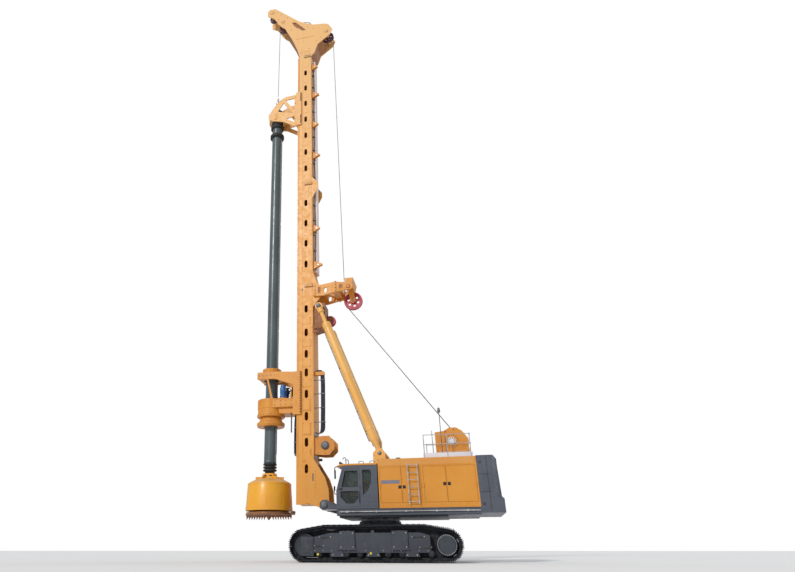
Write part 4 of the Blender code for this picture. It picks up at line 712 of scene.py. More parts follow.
def frame_details(side, word):
    """Roller ends, guards, hatches and markers on a track frame's outer face."""
    face = TRACK_FRAME_SIDE_Y
    rollers, guards, dark, bolts, marks = (bmesh.new() for _ in range(5))
    run = 2 * (AXLE_X - 0.55)
    for i in range(9):
        x = -run / 2 + run * i / 8
        turned(rollers, [(0.112, -0.02), (0.112, 0.015), (0.085, 0.022), (0.080, 0.050), (0.045, 0.056),
                         (0.0, 0.056)], (x, side * 2.19, 0.281), (0, side, 0), 32, closed=False)
        for point, way in bolt_ring((x, 0.281), side * 2.240, 0.062, 6):
            bolt(rollers, point, way, 0.009)
    for x in (1.28, 0.02, -1.32):
        outline = [(x - 0.26, 0.19), (x + 0.26, 0.19), (x + 0.19, 0.36), (x + 0.12, 0.42), (x - 0.12, 0.42),
                   (x - 0.19, 0.36)]
        plate(guards, [outline], (side * 2.262, side * 2.285))
        for u in (-0.16, 0.16):
            bolt(bolts, (x + u, side * 2.285, 0.25), (0, side, 0), 0.018)
    for x, z, wide in ((1.72, 0.80, 0.15), (1.95, 0.52, 0.11), (-1.55, 0.80, 0.16), (-1.78, 0.46, 0.15)):
        hatch = [(x - wide, z - 0.028), (x + wide, z - 0.028), (x + wide, z + 0.028), (x - wide, z + 0.028)]
        plate(dark, [hatch], (side * (face - 0.004), side * (face + 0.004)))
        for u in (-wide - 0.05, wide + 0.05):
            bolt(bolts, (x + u, side * face, z + 0.03), (0, side, 0), 0.014)
    for i in range(14):
        x = -1.85 + 3.95 * i / 13
        bolt(bolts, (x, side * face, 0.385), (0, side, 0), 0.013)
    for x in (0.65, -1.20):
        for u, z in ((0.06, 0.50), (0.49, 0.50), (0.06, 0.95), (0.49, 0.95)):
            bolt(bolts, (x + u, side * 2.325, z), (0, side, 0), 0.016)
        plate(guards, [[(x - 0.09, 0.40), (x + 0.64, 0.40), (x + 0.55, 0.46), (x, 0.46)]],
              (side * 2.262, side * 2.330))
    for x, z in ((2.48, 0.72), (1.98, 0.27), (0.10, 0.30)):
        box(marks, (x - 0.035, x + 0.035), (side * 2.285, side * 2.306), (z - 0.032, z + 0.032))
    box(guards, (2.16, 2.52), (side * 2.296, side * 2.315), (0.30, 0.80))
    for z in (0.42, 0.52, 0.62, 0.70):
        box(dark, (2.18, 2.28), (side * 2.312, side * 2.318), (z - 0.008, z + 0.008))
    box(guards, (1.02, 1.10), (side * 2.20, side * 2.262), (0.960, 1.030))
    box(guards, (-0.04, 0.08), (side * 2.20, side * 2.262), (0.955, 1.035))
    new_piece(word + "_roller_ends", rollers, "crawler", "track_steel")
    new_piece(word + "_roller_guards", guards, "crawler", "frame_paint", 0.005)
    new_piece(word + "_frame_hatches", dark, "crawler", "black_rubber")
    new_piece(word + "_frame_bolts", bolts, "crawler", "steel")
    new_piece(word + "_frame_markers", marks, "crawler", "marker_paint", 0.004)

    idler = bmesh.new()
    turned(idler, [(0.384, -0.03), (0.384, 0.03), (0.36, 0.045), (0.33, 0.030), (0.16, 0.020), (0.14, 0.065),
                   (0.0, 0.070)], (AXLE_X, side * 2.10, AXLE_Z), (0, side, 0), 64, closed=False)
    new_piece(word + "_idler_face", idler, "crawler", "frame_paint")


def slewing_ring():
    """The toothed outer ring, the plain inner ring and the bolts round it."""
    low, high = span("slew_ring")
    ring = bmesh.new()
    outline = toothed(0, 0, 96, ((0.0, 0.765), (0.25, 0.798), (0.45, 0.798), (0.70, 0.765)))
    plate(ring, [outline, circle(0, 0, 0.56, 48)], (low.z + 0.002, low.z + 0.085), "XY")
    turned(ring, [(0.74, high.z), (0.74, low.z + 0.088), (0.57, low.z + 0.088), (0.57, high.z)], sides=72)
    new_piece("slew_ring_gear", ring, "crawler", "dark_steel", 0.002, replaces=("slew_ring",))
    bolts = bmesh.new()
    for x, y in circle(0, 0, 0.742, 40):
        bolt(bolts, (x, y, low.z + 0.13), (x, y, 0), 0.016)
    new_piece("slew_ring_bolts", bolts, "crawler", "steel")


def crawler():
    """Both tracks and the ring between them and the house."""
    for side, word in ((1, "left"), (-1, "right")):
        track(side, word)
        sprocket(side, word)
        frame_details(side, word)
    slewing_ring()


# ---------------------------------------------------------------- kelly bar and bucket
def kelly():
    """The kelly bar's tube, keys and collars, the swivel above it and the stub below."""
    bar = bmesh.new()
    place = (KELLY_X, 0, 0)
    r, bore = 0.26, 0.22
    turned(bar, [(r, KELLY_HIGH), (r, KELLY_LOW + 0.02), (r - 0.02, KELLY_LOW), (bore, KELLY_LOW),
                 (bore, KELLY_HIGH)], place, sides=96)
    for low, high in ((KELLY_LOW + 0.02, KELLY_LOW + 0.10), (KELLY_LOW + 0.115, KELLY_LOW + 0.135)):
        turned(bar, [(r, high), (r + 0.006, high - 0.01), (r + 0.006, low + 0.01), (r, low)], place, sides=96)
    new_piece("kelly_tube", bar, "kelly", "kelly_paint", replaces=("kelly_bar",))

    keys = bmesh.new()
    for k in range(3):
        turn = Matrix.Rotation(math.radians(75 + 120 * k), 4, "Z")
        for low, high in ((4.1, 9.6), (9.7, 15.3), (15.4, 20.55)):
            centre = Vector((KELLY_X, 0, (low + high) / 2)) + turn @ Vector((r + 0.003, 0, 0))
            cube(keys, Matrix.Translation(centre) @ turn, (0.018, 0.055, high - low))
    new_piece("kelly_keys", keys, "kelly", "kelly_paint", 0.003)

    collars = bmesh.new()
    for z, tall, wide in ((22.11, 0.10, 0.36), (21.32, 0.10, 0.335), (20.71, 0.09, 0.355)):
        turned(collars, [(wide, z + tall), (wide + 0.012, z + tall - 0.02), (wide + 0.012, z - tall + 0.02),
                         (wide, z - tall), (r, z - tall), (r, z + tall)], place, sides=72)
    turned(collars, [(0.30, KELLY_HIGH), (0.30, 22.25), (0.262, 22.25), (0.262, KELLY_HIGH)], place, sides=72)
    new_piece("kelly_collars", collars, "kelly", "black_rubber")

    swivel = bmesh.new()
    turned(swivel, [(0.0, 22.30), (0.24, 22.32), (0.24, 22.46), (0.10, 22.62), (0.085, 22.98), (0.105, 23.0),
                    (0.105, 23.10), (0.06, 23.16), (0.045, 23.42), (0.0, 23.44)], place, sides=40,
           closed=False)
    plate(swivel, [[(KELLY_X - 0.05, 23.3), (KELLY_X + 0.05, 23.3), (KELLY_X + 0.05, 23.5), (KELLY_X, 23.56),
                    (KELLY_X - 0.05, 23.5)], circle(KELLY_X, 23.47, 0.025, 12)], (-0.02, 0.02))
    new_piece("kelly_swivel", swivel, "guide", "steel")

    stub = bmesh.new()
    top = span("kelly_stub")[1].z
    profile = [(0.0, top)]
    for i in range(3):
        upper = top - 0.12 * i
        profile += [(0.27, upper), (0.285, upper - 0.012), (0.285, upper - 0.060), (0.27, upper - 0.072),
                    (0.20, upper - 0.078), (0.20, upper - 0.118)]
    profile += [(0.22, top - 0.37), (0.0, top - 0.37)]
    turned(stub, profile, place, sides=64, closed=False)
    box(stub, (KELLY_X - 0.10, KELLY_X + 0.10), (-0.10, 0.10), (span("kelly_stub")[0].z, top - 0.36))
    new_piece("kelly_springs", stub, "kelly", "black_rubber", replaces=("kelly_stub",))


def bucket():
    """The bucket's drum with its domed lid, hub, ribs, dark patches painting the shade in the hub's slots, and weld
    seams.
    """
    lid = 3.07
    bottom = max(span("bucket_shell")[0].z, span("bucket_gate")[1].z)
    place = (KELLY_X, 0, 0)
    shell = bmesh.new()
    top_r, low_r = 0.900, 0.945
    dome = [(0.24, lid + 0.075)]
    for i in range(9):
        share = i / 8
        dome.append((0.24 + (top_r - 0.06 - 0.24) * share, lid + 0.075 - 0.20 * share ** 1.7))
    wall = [(top_r - 0.015, lid - 0.155), (top_r, lid - 0.20), (low_r, bottom + 0.16),
            (low_r + 0.014, bottom + 0.155), (low_r + 0.015, bottom + 0.004), (low_r - 0.02, bottom + 0.004),
            (low_r - 0.03, bottom + 0.16), (top_r - 0.03, lid - 0.20), (0.24, lid + 0.04)]
    turned(shell, dome + wall, place, sides=96)
    new_piece("bucket_drum", shell, "kelly", "bucket_paint", replaces=("bucket_shell",))

    hub = bmesh.new()
    outer = [(KELLY_X + 0.27 * math.copysign(1, math.cos(a)) * abs(math.cos(a)) ** 0.5,
              0.27 * math.copysign(1, math.sin(a)) * abs(math.sin(a)) ** 0.5)
             for a in (2 * math.pi * i / 32 for i in range(32))]
    plate(hub, [outer], (lid + 0.02, lid + 0.24), "XY")
    for k in range(6):
        angle = math.radians(15 + 60 * k)
        out = Vector((math.cos(angle), math.sin(angle), 0))
        centre = Vector((KELLY_X, 0, lid + 0.055)) + out * 0.42
        turn = Matrix.Rotation(angle, 4, "Z")
        cube(hub, Matrix.Translation(centre) @ turn, (0.34, 0.03, 0.12))
    new_piece("bucket_hub", hub, "kelly", "bucket_paint", 0.008)

    # Dark patches on the hub's faces paint the shade inside its slots.
    dark = bmesh.new()
    for k in range(4):
        angle = math.radians(90 * k)
        out = Vector((math.cos(angle), math.sin(angle), 0))
        turn = Matrix.Rotation(angle, 4, "Z")
        for off in (-0.11, 0.11):
            centre = Vector((KELLY_X, 0, lid + 0.15)) + out * 0.262 + turn @ Vector((0, off, 0))
            cube(dark, Matrix.Translation(centre) @ turn, (0.02, 0.10, 0.055))
    new_piece("bucket_hub_slot_shade", dark, "kelly", "black_rubber", 0.004)

    seams = bmesh.new()
    turned(seams, [(top_r + 0.003, lid - 0.195), (top_r + 0.010, lid - 0.206), (top_r + 0.004, lid - 0.220),
                   (top_r - 0.004, lid - 0.206)], place, sides=96)
    height = lid - bottom
    for k in range(8):
        angle = math.radians(10 + 45 * k)
        out = Vector((math.cos(angle), math.sin(angle), 0))
        points = [Vector((KELLY_X, 0, bottom + 0.17 + (height - 0.40) * 0.38 * i / 6)) +
                  out * (low_r + (top_r - low_r) * 0.38 * i / 6 + 0.001) for i in range(7)]
        tube(seams, points, 0.007, 8)
        bolt(seams, points[-1] + Vector((0, 0, 0.06)), out, 0.016)
    new_piece("bucket_welds", seams, "kelly", "bucket_paint")


def bucket_gate():
    """The bucket's hinged bottom with its two cutting blades, their teeth and the pilot."""
    low = span("bucket_gate")[0]
    disc_top = 1.794
    place = (KELLY_X, 0, 0)
    gate = bmesh.new()
    turned(gate, [(0.0, disc_top), (0.925, disc_top), (0.935, disc_top - 0.015), (0.935, disc_top - 0.085),
                  (0.90, disc_top - 0.10), (0.0, disc_top - 0.10)], place, sides=96, closed=False)
    for k, tilt in ((0, 1), (1, -1)):
        turn = Matrix.Rotation(math.radians(8 + 180 * k), 4, "Z")
        matrix = Matrix.Translation((KELLY_X, 0, disc_top - 0.115)) @ turn
        blade = Matrix.Translation((0.50, 0.05, 0)) @ Matrix.Rotation(math.radians(8 * tilt), 4, "X")
        cube(gate, matrix @ blade, (0.84, 0.34, 0.05))
    hinge = low.x
    box(gate, (hinge + 0.02, hinge + 0.24), (-0.198, 0.198), (disc_top - 0.09, disc_top - 0.01))
    rod(gate, (hinge + 0.055, -0.198, 1.80), (hinge + 0.055, 0.198, 1.80), 0.052, sides=24)
    new_piece("gate_plate", gate, "gate", "worn_teeth", 0.005, replaces=("bucket_gate",))

    teeth = bmesh.new()
    lowest = low.z
    for k in range(2):
        base = math.radians(8 + 180 * k)
        row = [(base - 0.10, 0.16 + 0.105 * i) for i in range(8)]
        for angle, radius in row:
            out = Vector((math.cos(angle), math.sin(angle), 0))
            across = Vector((-out.y, out.x, 0))
            root = Vector((KELLY_X, 0, disc_top - 0.10)) + out * radius
            tip = root + across * 0.06 + out * 0.02
            tip.z = lowest + 0.012 + 0.012 * (radius > 0.8)
            holder = root.lerp(tip, 0.45)
            rod(teeth, root, holder, 0.050, 0.040, 12)
            rod(teeth, holder, tip, 0.034, 0.010, 12)
    turned(teeth, [(0.0, disc_top - 0.09), (0.11, disc_top - 0.10), (0.10, disc_top - 0.17),
                   (0.02, lowest + 0.002), (0.0, lowest)], place, sides=20, closed=False)
    new_piece("gate_teeth", teeth, "gate", "worn_teeth", 0.0)


# ---------------------------------------------------------------- struts
def struts():
    """The two back struts, each with its barrel, stem, pipes, clips and pin caps."""
    foot = Vector((-0.20, 0, 3.88))
    head = Vector((2.20, 0, 10.40))
    line = (head - foot).normalized()
    for side, word in ((1, "left"), (-1, "right")):
        y = side * 0.62
        start, end = foot + Vector((0, y, 0)), head + Vector((0, y, 0))
        barrel = bmesh.new()
        turned(barrel, [(0.0, 0.10), (0.10, 0.10), (0.10, 0.40), (0.186, 0.60), (0.189, 0.66), (0.189, 6.00),
                        (0.181, 6.06), (0.13, 6.08), (0.0, 6.08)], start, line, 64, closed=False)
        turned(barrel,
               [(0.198, 0.98), (0.200, 1.02), (0.200, 1.10), (0.198, 1.14), (0.186, 1.14), (0.186, 0.98)],
               start, line, 64)
        turned(barrel, [(0.199, 5.80), (0.199, 5.99), (0.186, 5.99), (0.186, 5.80)], start, line, 64)
        turned(barrel, [(0.18, 0.095), (0.18, -0.095), (0.09, -0.095), (0.09, 0.095)], start, (0, 1, 0), 48)
        new_piece(word + "_strut_tube", barrel, word + "_barrel", "strut_paint", 0.003,
                  replaces=(word + "_strut_barrel",))
        stem = bmesh.new()
        turned(stem, [(0.0, 3.3), (0.088, 3.3), (0.088, 6.62), (0.138, 6.64), (0.138, 6.84), (0.10, 6.88),
                      (0.0, 6.88)], start, line, 48, closed=False)
        turned(stem, [(0.168, 0.079), (0.168, -0.079), (0.106, -0.079), (0.106, 0.079)], end, (0, 1, 0), 48)
        new_piece(word + "_strut_stem", stem, word + "_rod", "strut_paint", 0.003,
                  replaces=(word + "_strut_rod",))
        pipe = bmesh.new()
        off = line.cross(Vector((0, 1, 0))).normalized() * -0.215
        for gap in (-0.03, 0.03):
            shift = off + Vector((0, gap, 0))
            tube(pipe, smooth_line([start + line * 0.62 + shift * 0.95, start + line * 0.8 + shift,
                                    start + line * 3.0 + shift, start + line * 5.3 + shift,
                                    start + line * 5.75 + shift * 0.92], 4), 0.014, 8)
        new_piece(word + "_strut_pipes", pipe, word + "_barrel", "dark_steel")
        clips = bmesh.new()
        for distance in (0.9, 1.9, 2.9, 3.9, 4.9):
            centre = start + line * distance + off * 0.93
            cube(clips, Matrix.Translation(centre) @ turn_to(line), (0.05, 0.12, 0.04))
        new_piece(word + "_strut_clips", clips, word + "_barrel", "dark_steel", 0.004)
        caps = bmesh.new()
        for far in (-0.155, 0.155):
            turned(caps, [(0.075, -0.006), (0.075, 0.012), (0.055, 0.022), (0.0, 0.022)],
                   (start.x, start.y + far, start.z), (0, math.copysign(1, far), 0), 32, closed=False)
        new_piece(word + "_foot_pin_caps", caps, "house", "dark_steel")
        top_caps = bmesh.new()
        turned(top_caps, [(0.10, -0.02), (0.10, 0.005), (0.08, 0.012), (0.0, 0.012)],
               (end.x, side * 0.76, end.z), (0, side, 0), 32, closed=False)
        new_piece(word + "_head_pin_cap", top_caps, "mast", "dark_steel")


# ---------------------------------------------------------------- sheaves, drums and ropes
def sheave(node, name, body, finish, holes=5):
    """A rope wheel with a groove, holes in its web and a hub, in a node's place."""
    centre, radius = middle_of(node), radius_of(node)
    wheel = bmesh.new()
    place = tuple(centre)
    half = 0.064
    turned(wheel, [(radius, half), (radius - 0.016, half * 0.9), (radius - 0.052, 0.018),
                   (radius - 0.052, -0.018), (radius - 0.016, -half * 0.9), (radius, -half),
                   (radius - 0.07, -half), (radius - 0.09, -0.03), (radius - 0.09, 0.03),
                   (radius - 0.07, half)], place, (0, 1, 0), 72)
    rim = radius - 0.085
    hub = max(0.10, radius * 0.28)
    outlines = [circle(centre.x, centre.z, rim, 60), circle(centre.x, centre.z, 0.071, 24)]
    middle = (rim + hub) / 2
    for k in range(holes):
        angle = 2 * math.pi * (k + 0.3) / holes
        outlines.append(circle(centre.x + middle * math.cos(angle), centre.z + middle * math.sin(angle),
                               (rim - hub) * 0.27, 20))
    plate(wheel, outlines, (centre.y - 0.022, centre.y + 0.022))
    turned(wheel, [(hub, 0.070), (hub + 0.01, 0.045), (hub + 0.01, -0.045), (hub, -0.070), (0.071, -0.078),
                   (0.071, 0.078)], place, (0, 1, 0), 40)
    new_piece(name, wheel, body, finish, replaces=(node,))


def rope(name, points, body, radius=0.017, blend=None):
    """A taut wire rope. With blend it runs from one body to the next."""
    shape = bmesh.new()
    tube(shape, points, radius, 8)
    obj = new_piece(name, shape, body, "rope", angle=60)
    if blend:
        world = obj.matrix_world.copy()
        obj.parent = None
        obj.matrix_world = world
        del obj["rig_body"]
        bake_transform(obj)
    return obj


def straight(start, end, count=24):
    """Evenly spaced points on a straight line."""
    start, end = Vector(start), Vector(end)
    return [start.lerp(end, i / (count - 1)) for i in range(count)]


def drum(node, name, body, flange, core, half, rope_radius):
    """A winch drum with two flanges, and one layer of rope wound on it."""
    place = tuple(middle_of(node))
    shape = bmesh.new()
    for side in (1, -1):
        near, far = side * (half - 0.03), side * half
        turned(shape, [(flange, far), (flange, near + side * 0.006), (flange - 0.01, near), (0.10, near),
                       (0.10, far)], place, (0, 1, 0), 64)
    turned(shape, [(core, half - 0.02), (core, -half + 0.02), (0.11, -half + 0.02), (0.11, half - 0.02)],
           place, (0, 1, 0), 64)
    new_piece(name, shape, body, "gear_paint", replaces=(node,))
    wound = bmesh.new()
    turns = int((2 * half - 0.09) / (2 * rope_radius))
    profile = []
    for i in range(turns):
        y = -half + 0.045 + rope_radius * (2 * i + 1)
        for angle in (-70, -35, 0, 35, 70):
            a = math.radians(angle)
            profile.append((core + rope_radius * (0.35 + math.cos(a)), y + rope_radius * math.sin(a)))
    profile = profile[::-1] + [(core - 0.01, -half + 0.05), (core - 0.01, half - 0.05)]
    turned(wound, profile, place, (0, 1, 0), 56)
    new_piece(name + "_rope", wound, body, "rope", angle=75)


def rigging():
    """All rope wheels and drums, and the taut ropes between them."""
    sheave("arm_sheave", "red_rope_sheave", "arm_sheave", "red_paint", 6)
    sheave("box_sheave", "small_red_sheave", "box_sheave", "red_paint", 4)
    for node in ("front", "tip", "rear"):
        sheave(f"head_{node}_sheave", f"head_{node}_wheel", f"{node}_sheave", "purple_paint")
    drum("main_winch_drum", "main_drum_body", "main_drum", 0.445, 0.33, 0.617, 0.017)
    drum("low_winch_drum", "low_drum_body", "low_drum", 0.318, 0.235, 0.357, 0.012)

    red, winch = middle_of("arm_sheave"), middle_of("main_winch_drum")
    rear, front = middle_of("head_rear_sheave"), middle_of("head_front_sheave")
    red_r, rear_r, front_r = (radius_of(node) - ROPE_GROOVE
                              for node in ("arm_sheave", "head_rear_sheave", "head_front_sheave"))
    away = (winch - red).normalized()
    side_way = Vector((-away.z, 0, away.x))
    if side_way.z < 0:
        side_way = -side_way
    rope("luffing_side_rope", straight(winch + side_way * 0.36, red - side_way * red_r),
         "house", blend=("house", "mast"))
    rope("mast_back_rope", straight(red + Vector((red_r, 0, 0)), rear + Vector((-rear_r, 0, 0))), "mast",
         0.014)
    over = straight(rear + Vector((0, 0, rear_r)), front + Vector((-0.18, 0, front_r * 0.86)), 12)
    rope("mast_head_rope", over, "mast", 0.014)
    rope("kelly_rope", straight((front.x + front_r, 0, front.z), (KELLY_X, 0, 23.50)), "mast", 0.014,
         blend=("mast", "guide"))


# ---------------------------------------------------------------- mast
def bolts(name, body, places, size=0.02, finish="dark_steel"):
    """One piece of many bolts; places holds (point, way out) pairs."""
    shape = bmesh.new()
    for point, way in places:
        bolt(shape, point, way, size)
    new_piece(name, shape, body, finish)


def mast_joints():
    """Bolts and shims where the mast's sections meet."""
    rows, shims = [], bmesh.new()
    for z in JOINTS_Z:
        for side in (1, -1):
            for i in range(4):
                x = 2.545 + 0.095 * i
                rows.append(((x, side * 0.527, z + 0.05), (0, 0, 1)))
                rows.append(((x, side * 0.527, z - 0.05), (0, 0, -1)))
            box(shims, (2.49, 2.91), (side * 0.46, side * 0.556), (z - 0.006, z + 0.006))
    bolts("mast_joint_bolts", "mast", rows, 0.026)
    new_piece("mast_joint_shims", shims, "mast", "shaded_paint", 0.002)


def mast_sides():
    """Weld beads, wear strips, cover pads and small fittings on the mast's two sides."""
    beads, strips, pads, dark, rails = (bmesh.new() for _ in range(5))
    rows = []
    top = JOINTS_Z[2]
    for side in (1, -1):
        for low, high in ((MAST_LOW + 1.6, JOINTS_Z[0] - 0.07), (JOINTS_Z[0] + 0.07, JOINTS_Z[1] - 0.07),
                          (JOINTS_Z[1] + 0.07, top - 0.07)):
            for x in (2.535, 2.985):
                tube(beads, [(x, side * 0.500, low), (x, side * 0.500, (low + high) / 2),
                             (x, side * 0.500, high)],
                     0.007, 6)
            box(rails, (3.150, 3.238), (side * 0.4995, side * 0.5030), (low, high))
            box(strips, (3.249, 3.2525), (side * 0.385, side * 0.495), (low, high))
        for z in (3.93, 5.00, 6.00, 6.95, 7.84, 8.76, 9.82):
            tall = 0.26 if z < 6.5 else 0.17
            box(pads, (2.615, 2.975), (side * 0.4995, side * 0.512), (z - tall, z + tall))
            if z < 6.5:
                box(pads, (2.660, 2.930), (side * 0.512, side * 0.540), (z - tall + 0.05, z + tall - 0.05))
            for u in (2.635, 2.955):
                for v in (z - tall + 0.03, z + tall - 0.03):
                    rows.append(((u, side * 0.512, v), (0, side, 0)))
        for z in (13.2, 14.3, 15.4, 16.6, 18.6, 19.65, 20.7, 21.8, 22.85, 23.9, 25.0):
            box(pads, (2.66, 2.94), (side * 0.4995, side * 0.508), (z - 0.13, z + 0.13))
        for i in range(9):
            rows.append(((2.45, side * 0.5405, 2.30 + 0.125 * i), (0, side, 0)))
            rows.append(((2.80, side * 0.5405, 2.30 + 0.135 * i), (0, side, 0)))
        box(dark, (2.52, 2.57), (side * 0.5385, side * 0.5425), (2.92, 3.22))
        turned(dark, [(0.085, 0.0), (0.085, 0.016), (0.060, 0.020), (0.0, 0.020)], (2.70, side * 0.500, 3.86),
               (0, side, 0), 32, closed=False)
        turned(dark, [(0.135, 0.0), (0.135, 0.02), (0.10, 0.03), (0.09, 0.045), (0.0, 0.05)],
               (2.07, side * 0.641, 2.0), (0, side, 0), 40, closed=False)
        for z in (3.86, 4.72):
            box(dark, (2.36, 2.49), (side * 0.40, side * 0.47), (z - 0.05, z + 0.05))
        box(dark, (2.99, 3.03), (side * 0.500, side * 0.53), (11.30, 11.40))
    new_piece("mast_weld_beads", beads, "mast", "mast_paint")
    new_piece("mast_rail_sides", rails, "mast", "gear_paint", 0.001)
    new_piece("mast_rail_faces", strips, "mast", "polished", 0.0005)
    new_piece("mast_cover_pads", pads, "mast", "mast_paint", 0.004)
    new_piece("mast_small_fittings", dark, "mast", "dark_steel", 0.004)
    bolts("mast_pad_bolts", "mast", rows, 0.013)


def mast_rear():
    """Rope guides, hose runs and their clamps on the mast's rear side."""
    guides, rollers, hoses, clamps = (bmesh.new() for _ in range(4))
    for z, reach in ((12.62, 0.44), (14.6, 0.34), (18.9, 0.40), (20.9, 0.34), (22.9, 0.40), (24.9, 0.34)):
        for y in (0.30, 0.40):
            outline = [(2.51, z + 0.22), (2.50 - reach, z + 0.03), (2.50 - reach, z - 0.03), (2.51, z - 0.22)]
            plate(guides, [outline, circle(2.50 - reach * 0.55, z, 0.035, 16)], (y - 0.008, y + 0.008))
        rod(rollers, (2.50 - reach * 0.55, 0.285, z), (2.50 - reach * 0.55, 0.415, z), 0.034, sides=20)
    tray = span("hose_tray")
    for k, y in enumerate((0.262, 0.288, -0.262, -0.288)):
        points = [(2.400 + 0.012 * math.sin(0.9 * i + k), y,
                   tray[0].z + 0.15 + (tray[1].z - tray[0].z - 0.3) * i / 30)
                  for i in range(31)]
        tube(hoses, smooth_line(points, 2), 0.012, 8)
    z = tray[0].z + 0.3
    while z < tray[1].z - 0.2:
        for side in (1, -1):
            box(clamps, (2.375, 2.499), (side * 0.241, side * 0.310), (z - 0.02, z + 0.02))
            box(clamps, (2.340, 2.344), (side * 0.08, side * 0.14), (z + 0.30, z + 0.36))
        z += 0.84
    for k in range(10):
        x, y = 2.075 + 0.036 * (k % 5), 0.27 + 0.040 * (k // 5)
        points = [(2.47, y, 7.46), (x + 0.14, y, 7.52), (x, y, 7.25), (x - 0.008, y, 6.2),
                  (x + 0.006, y, 5.4), (x + 0.03, y, 4.95), (2.33, y + 0.03, 4.82), (2.47, y + 0.03, 4.86)]
        tube(hoses, smooth_line(points, 6), 0.0185, 8)
    for z in (5.3, 5.9, 6.5, 7.1):
        box(clamps, (2.045, 2.250), (0.240, 0.340), (z - 0.018, z + 0.018))
        box(clamps, (2.235, 2.499), (0.27, 0.31), (z - 0.012, z + 0.012))
    for side in (1, -1):
        for k in range(3):
            y = side * (0.20 + 0.045 * k)
            points = [(2.37, y, 3.55), (2.30, y, 3.20), (2.33, y, 2.80), (2.37, y, 2.50)]
            tube(hoses, smooth_line(points, 6), 0.016, 8)
    box(guides, (2.06, 2.50), (0.22, 0.24), (7.30, 7.46))
    box(guides, (2.06, 2.50), (0.34, 0.36), (7.30, 7.46))
    new_piece("mast_rope_guides", guides, "mast", "gear_paint", 0.004)
    new_piece("mast_guide_rollers", rollers, "mast", "steel", 0.003)
    new_piece("mast_hoses", hoses, "mast", "hose_rubber")
    new_piece("mast_hose_clamps", clamps, "mast", "dark_steel", 0.003)

    lamps, glass = bmesh.new(), bmesh.new()
    for z, turn in ((9.28, 0), (9.48, 1)):
        box(lamps, (2.40, 2.52), (0.44, 0.50), (z - 0.07, z + 0.07))
        rod(lamps, (2.40, 0.47, z), (2.30, 0.50, z - 0.04), 0.055, 0.075, 20)
        rod(glass, (2.302, 0.499, z - 0.039), (2.292, 0.502, z - 0.043), 0.066, sides=20)
    new_piece("mast_lamps", lamps, "mast", "shaded_paint", 0.004)
    new_piece("mast_lamp_glass", glass, "mast", "lamp_glass")


def head_details():
    """Caps, bolts, closing plates and the rope guard of the mast's head; the closing plates and a dark sheet inside
    the head are coloured as painted shade.
    """
    caps, rows = bmesh.new(), []
    for node in ("head_front_sheave", "head_tip_sheave", "head_rear_sheave"):
        centre = middle_of(node)
        for side in (1, -1):
            turned(caps, [(0.115, 0.0), (0.115, 0.014), (0.085, 0.020), (0.080, 0.036), (0.0, 0.036)],
                   (centre.x, side * 0.5005, centre.z), (0, side, 0), 32, closed=False)
            rows += bolt_ring(centre, side * 0.514, 0.098, 6)
    for side in (1, -1):
        for x, z in ((2.62, 25.86), (2.82, 25.86), (3.02, 25.86), (2.62, 26.22), (3.02, 26.22), (2.20, 26.72),
                     (1.92, 26.92), (2.36, 27.72), (2.70, 27.90), (3.36, 28.02), (3.66, 27.94), (3.52, 28.60),
                     (3.90, 28.98), (4.28, 29.34), (4.62, 29.56), (4.44, 28.98)):
            rows.append(((x, side * 0.5, z), (0, side, 0)))
        for outline in ([(2.55, 26.02), (3.16, 26.02), (3.20, 26.06), (2.51, 26.06)],
                        [(2.30, 27.10), (3.40, 27.10), (3.42, 27.14), (2.28, 27.14)]):
            plate(caps, [outline], (side * 0.4995, side * 0.515))
    closing, inner_shade_sheet = bmesh.new(), bmesh.new()
    # The closing plates are real plates whose dark brown paints the shade inside the head.
    for path in ([(3.145, 25.66), (3.300, 26.30), (3.615, 27.20), (4.020, 28.10)],
                 [(2.495, 25.66), (2.310, 25.92), (2.135, 26.46), (1.82, 26.71)]):
        inner = [(x + (-0.03 if x > 2.8 else 0.03), z + 0.012) for x, z in reversed(path)]
        plate(closing, [path + inner], (-0.448, 0.448))
    # A thin dark sheet inside each side plate paints the shade in the head's hollow.
    for side in (1, -1):
        plate(inner_shade_sheet, [[(2.74, 27.66), (3.06, 27.62), (3.58, 28.18), (3.70, 28.56), (3.40, 28.52)]],
              (side * 0.428, side * 0.440))
    new_piece("mast_head_closing_plates", closing, "mast", "shaded_paint", 0.003)
    new_piece("mast_head_painted_shade_sheet", inner_shade_sheet, "mast", "shaded_paint", 0.002)
    new_piece("mast_head_caps", caps, "mast", "mast_paint", 0.003)
    bolts("mast_head_bolts", "mast", rows, 0.020)
    guard = bmesh.new()
    for side in (1, -1):
        tube(guard, smooth_line([(2.42, side * 0.40, 28.02), (2.62, side * 0.40, 28.34),
                                 (3.02, side * 0.40, 28.44), (3.20, side * 0.40, 28.47)], 6), 0.014, 8)
    rod(guard, (2.62, -0.40, 28.33), (2.62, 0.40, 28.33), 0.013, sides=10)
    new_piece("mast_head_rope_guard", guard, "mast", "dark_steel")


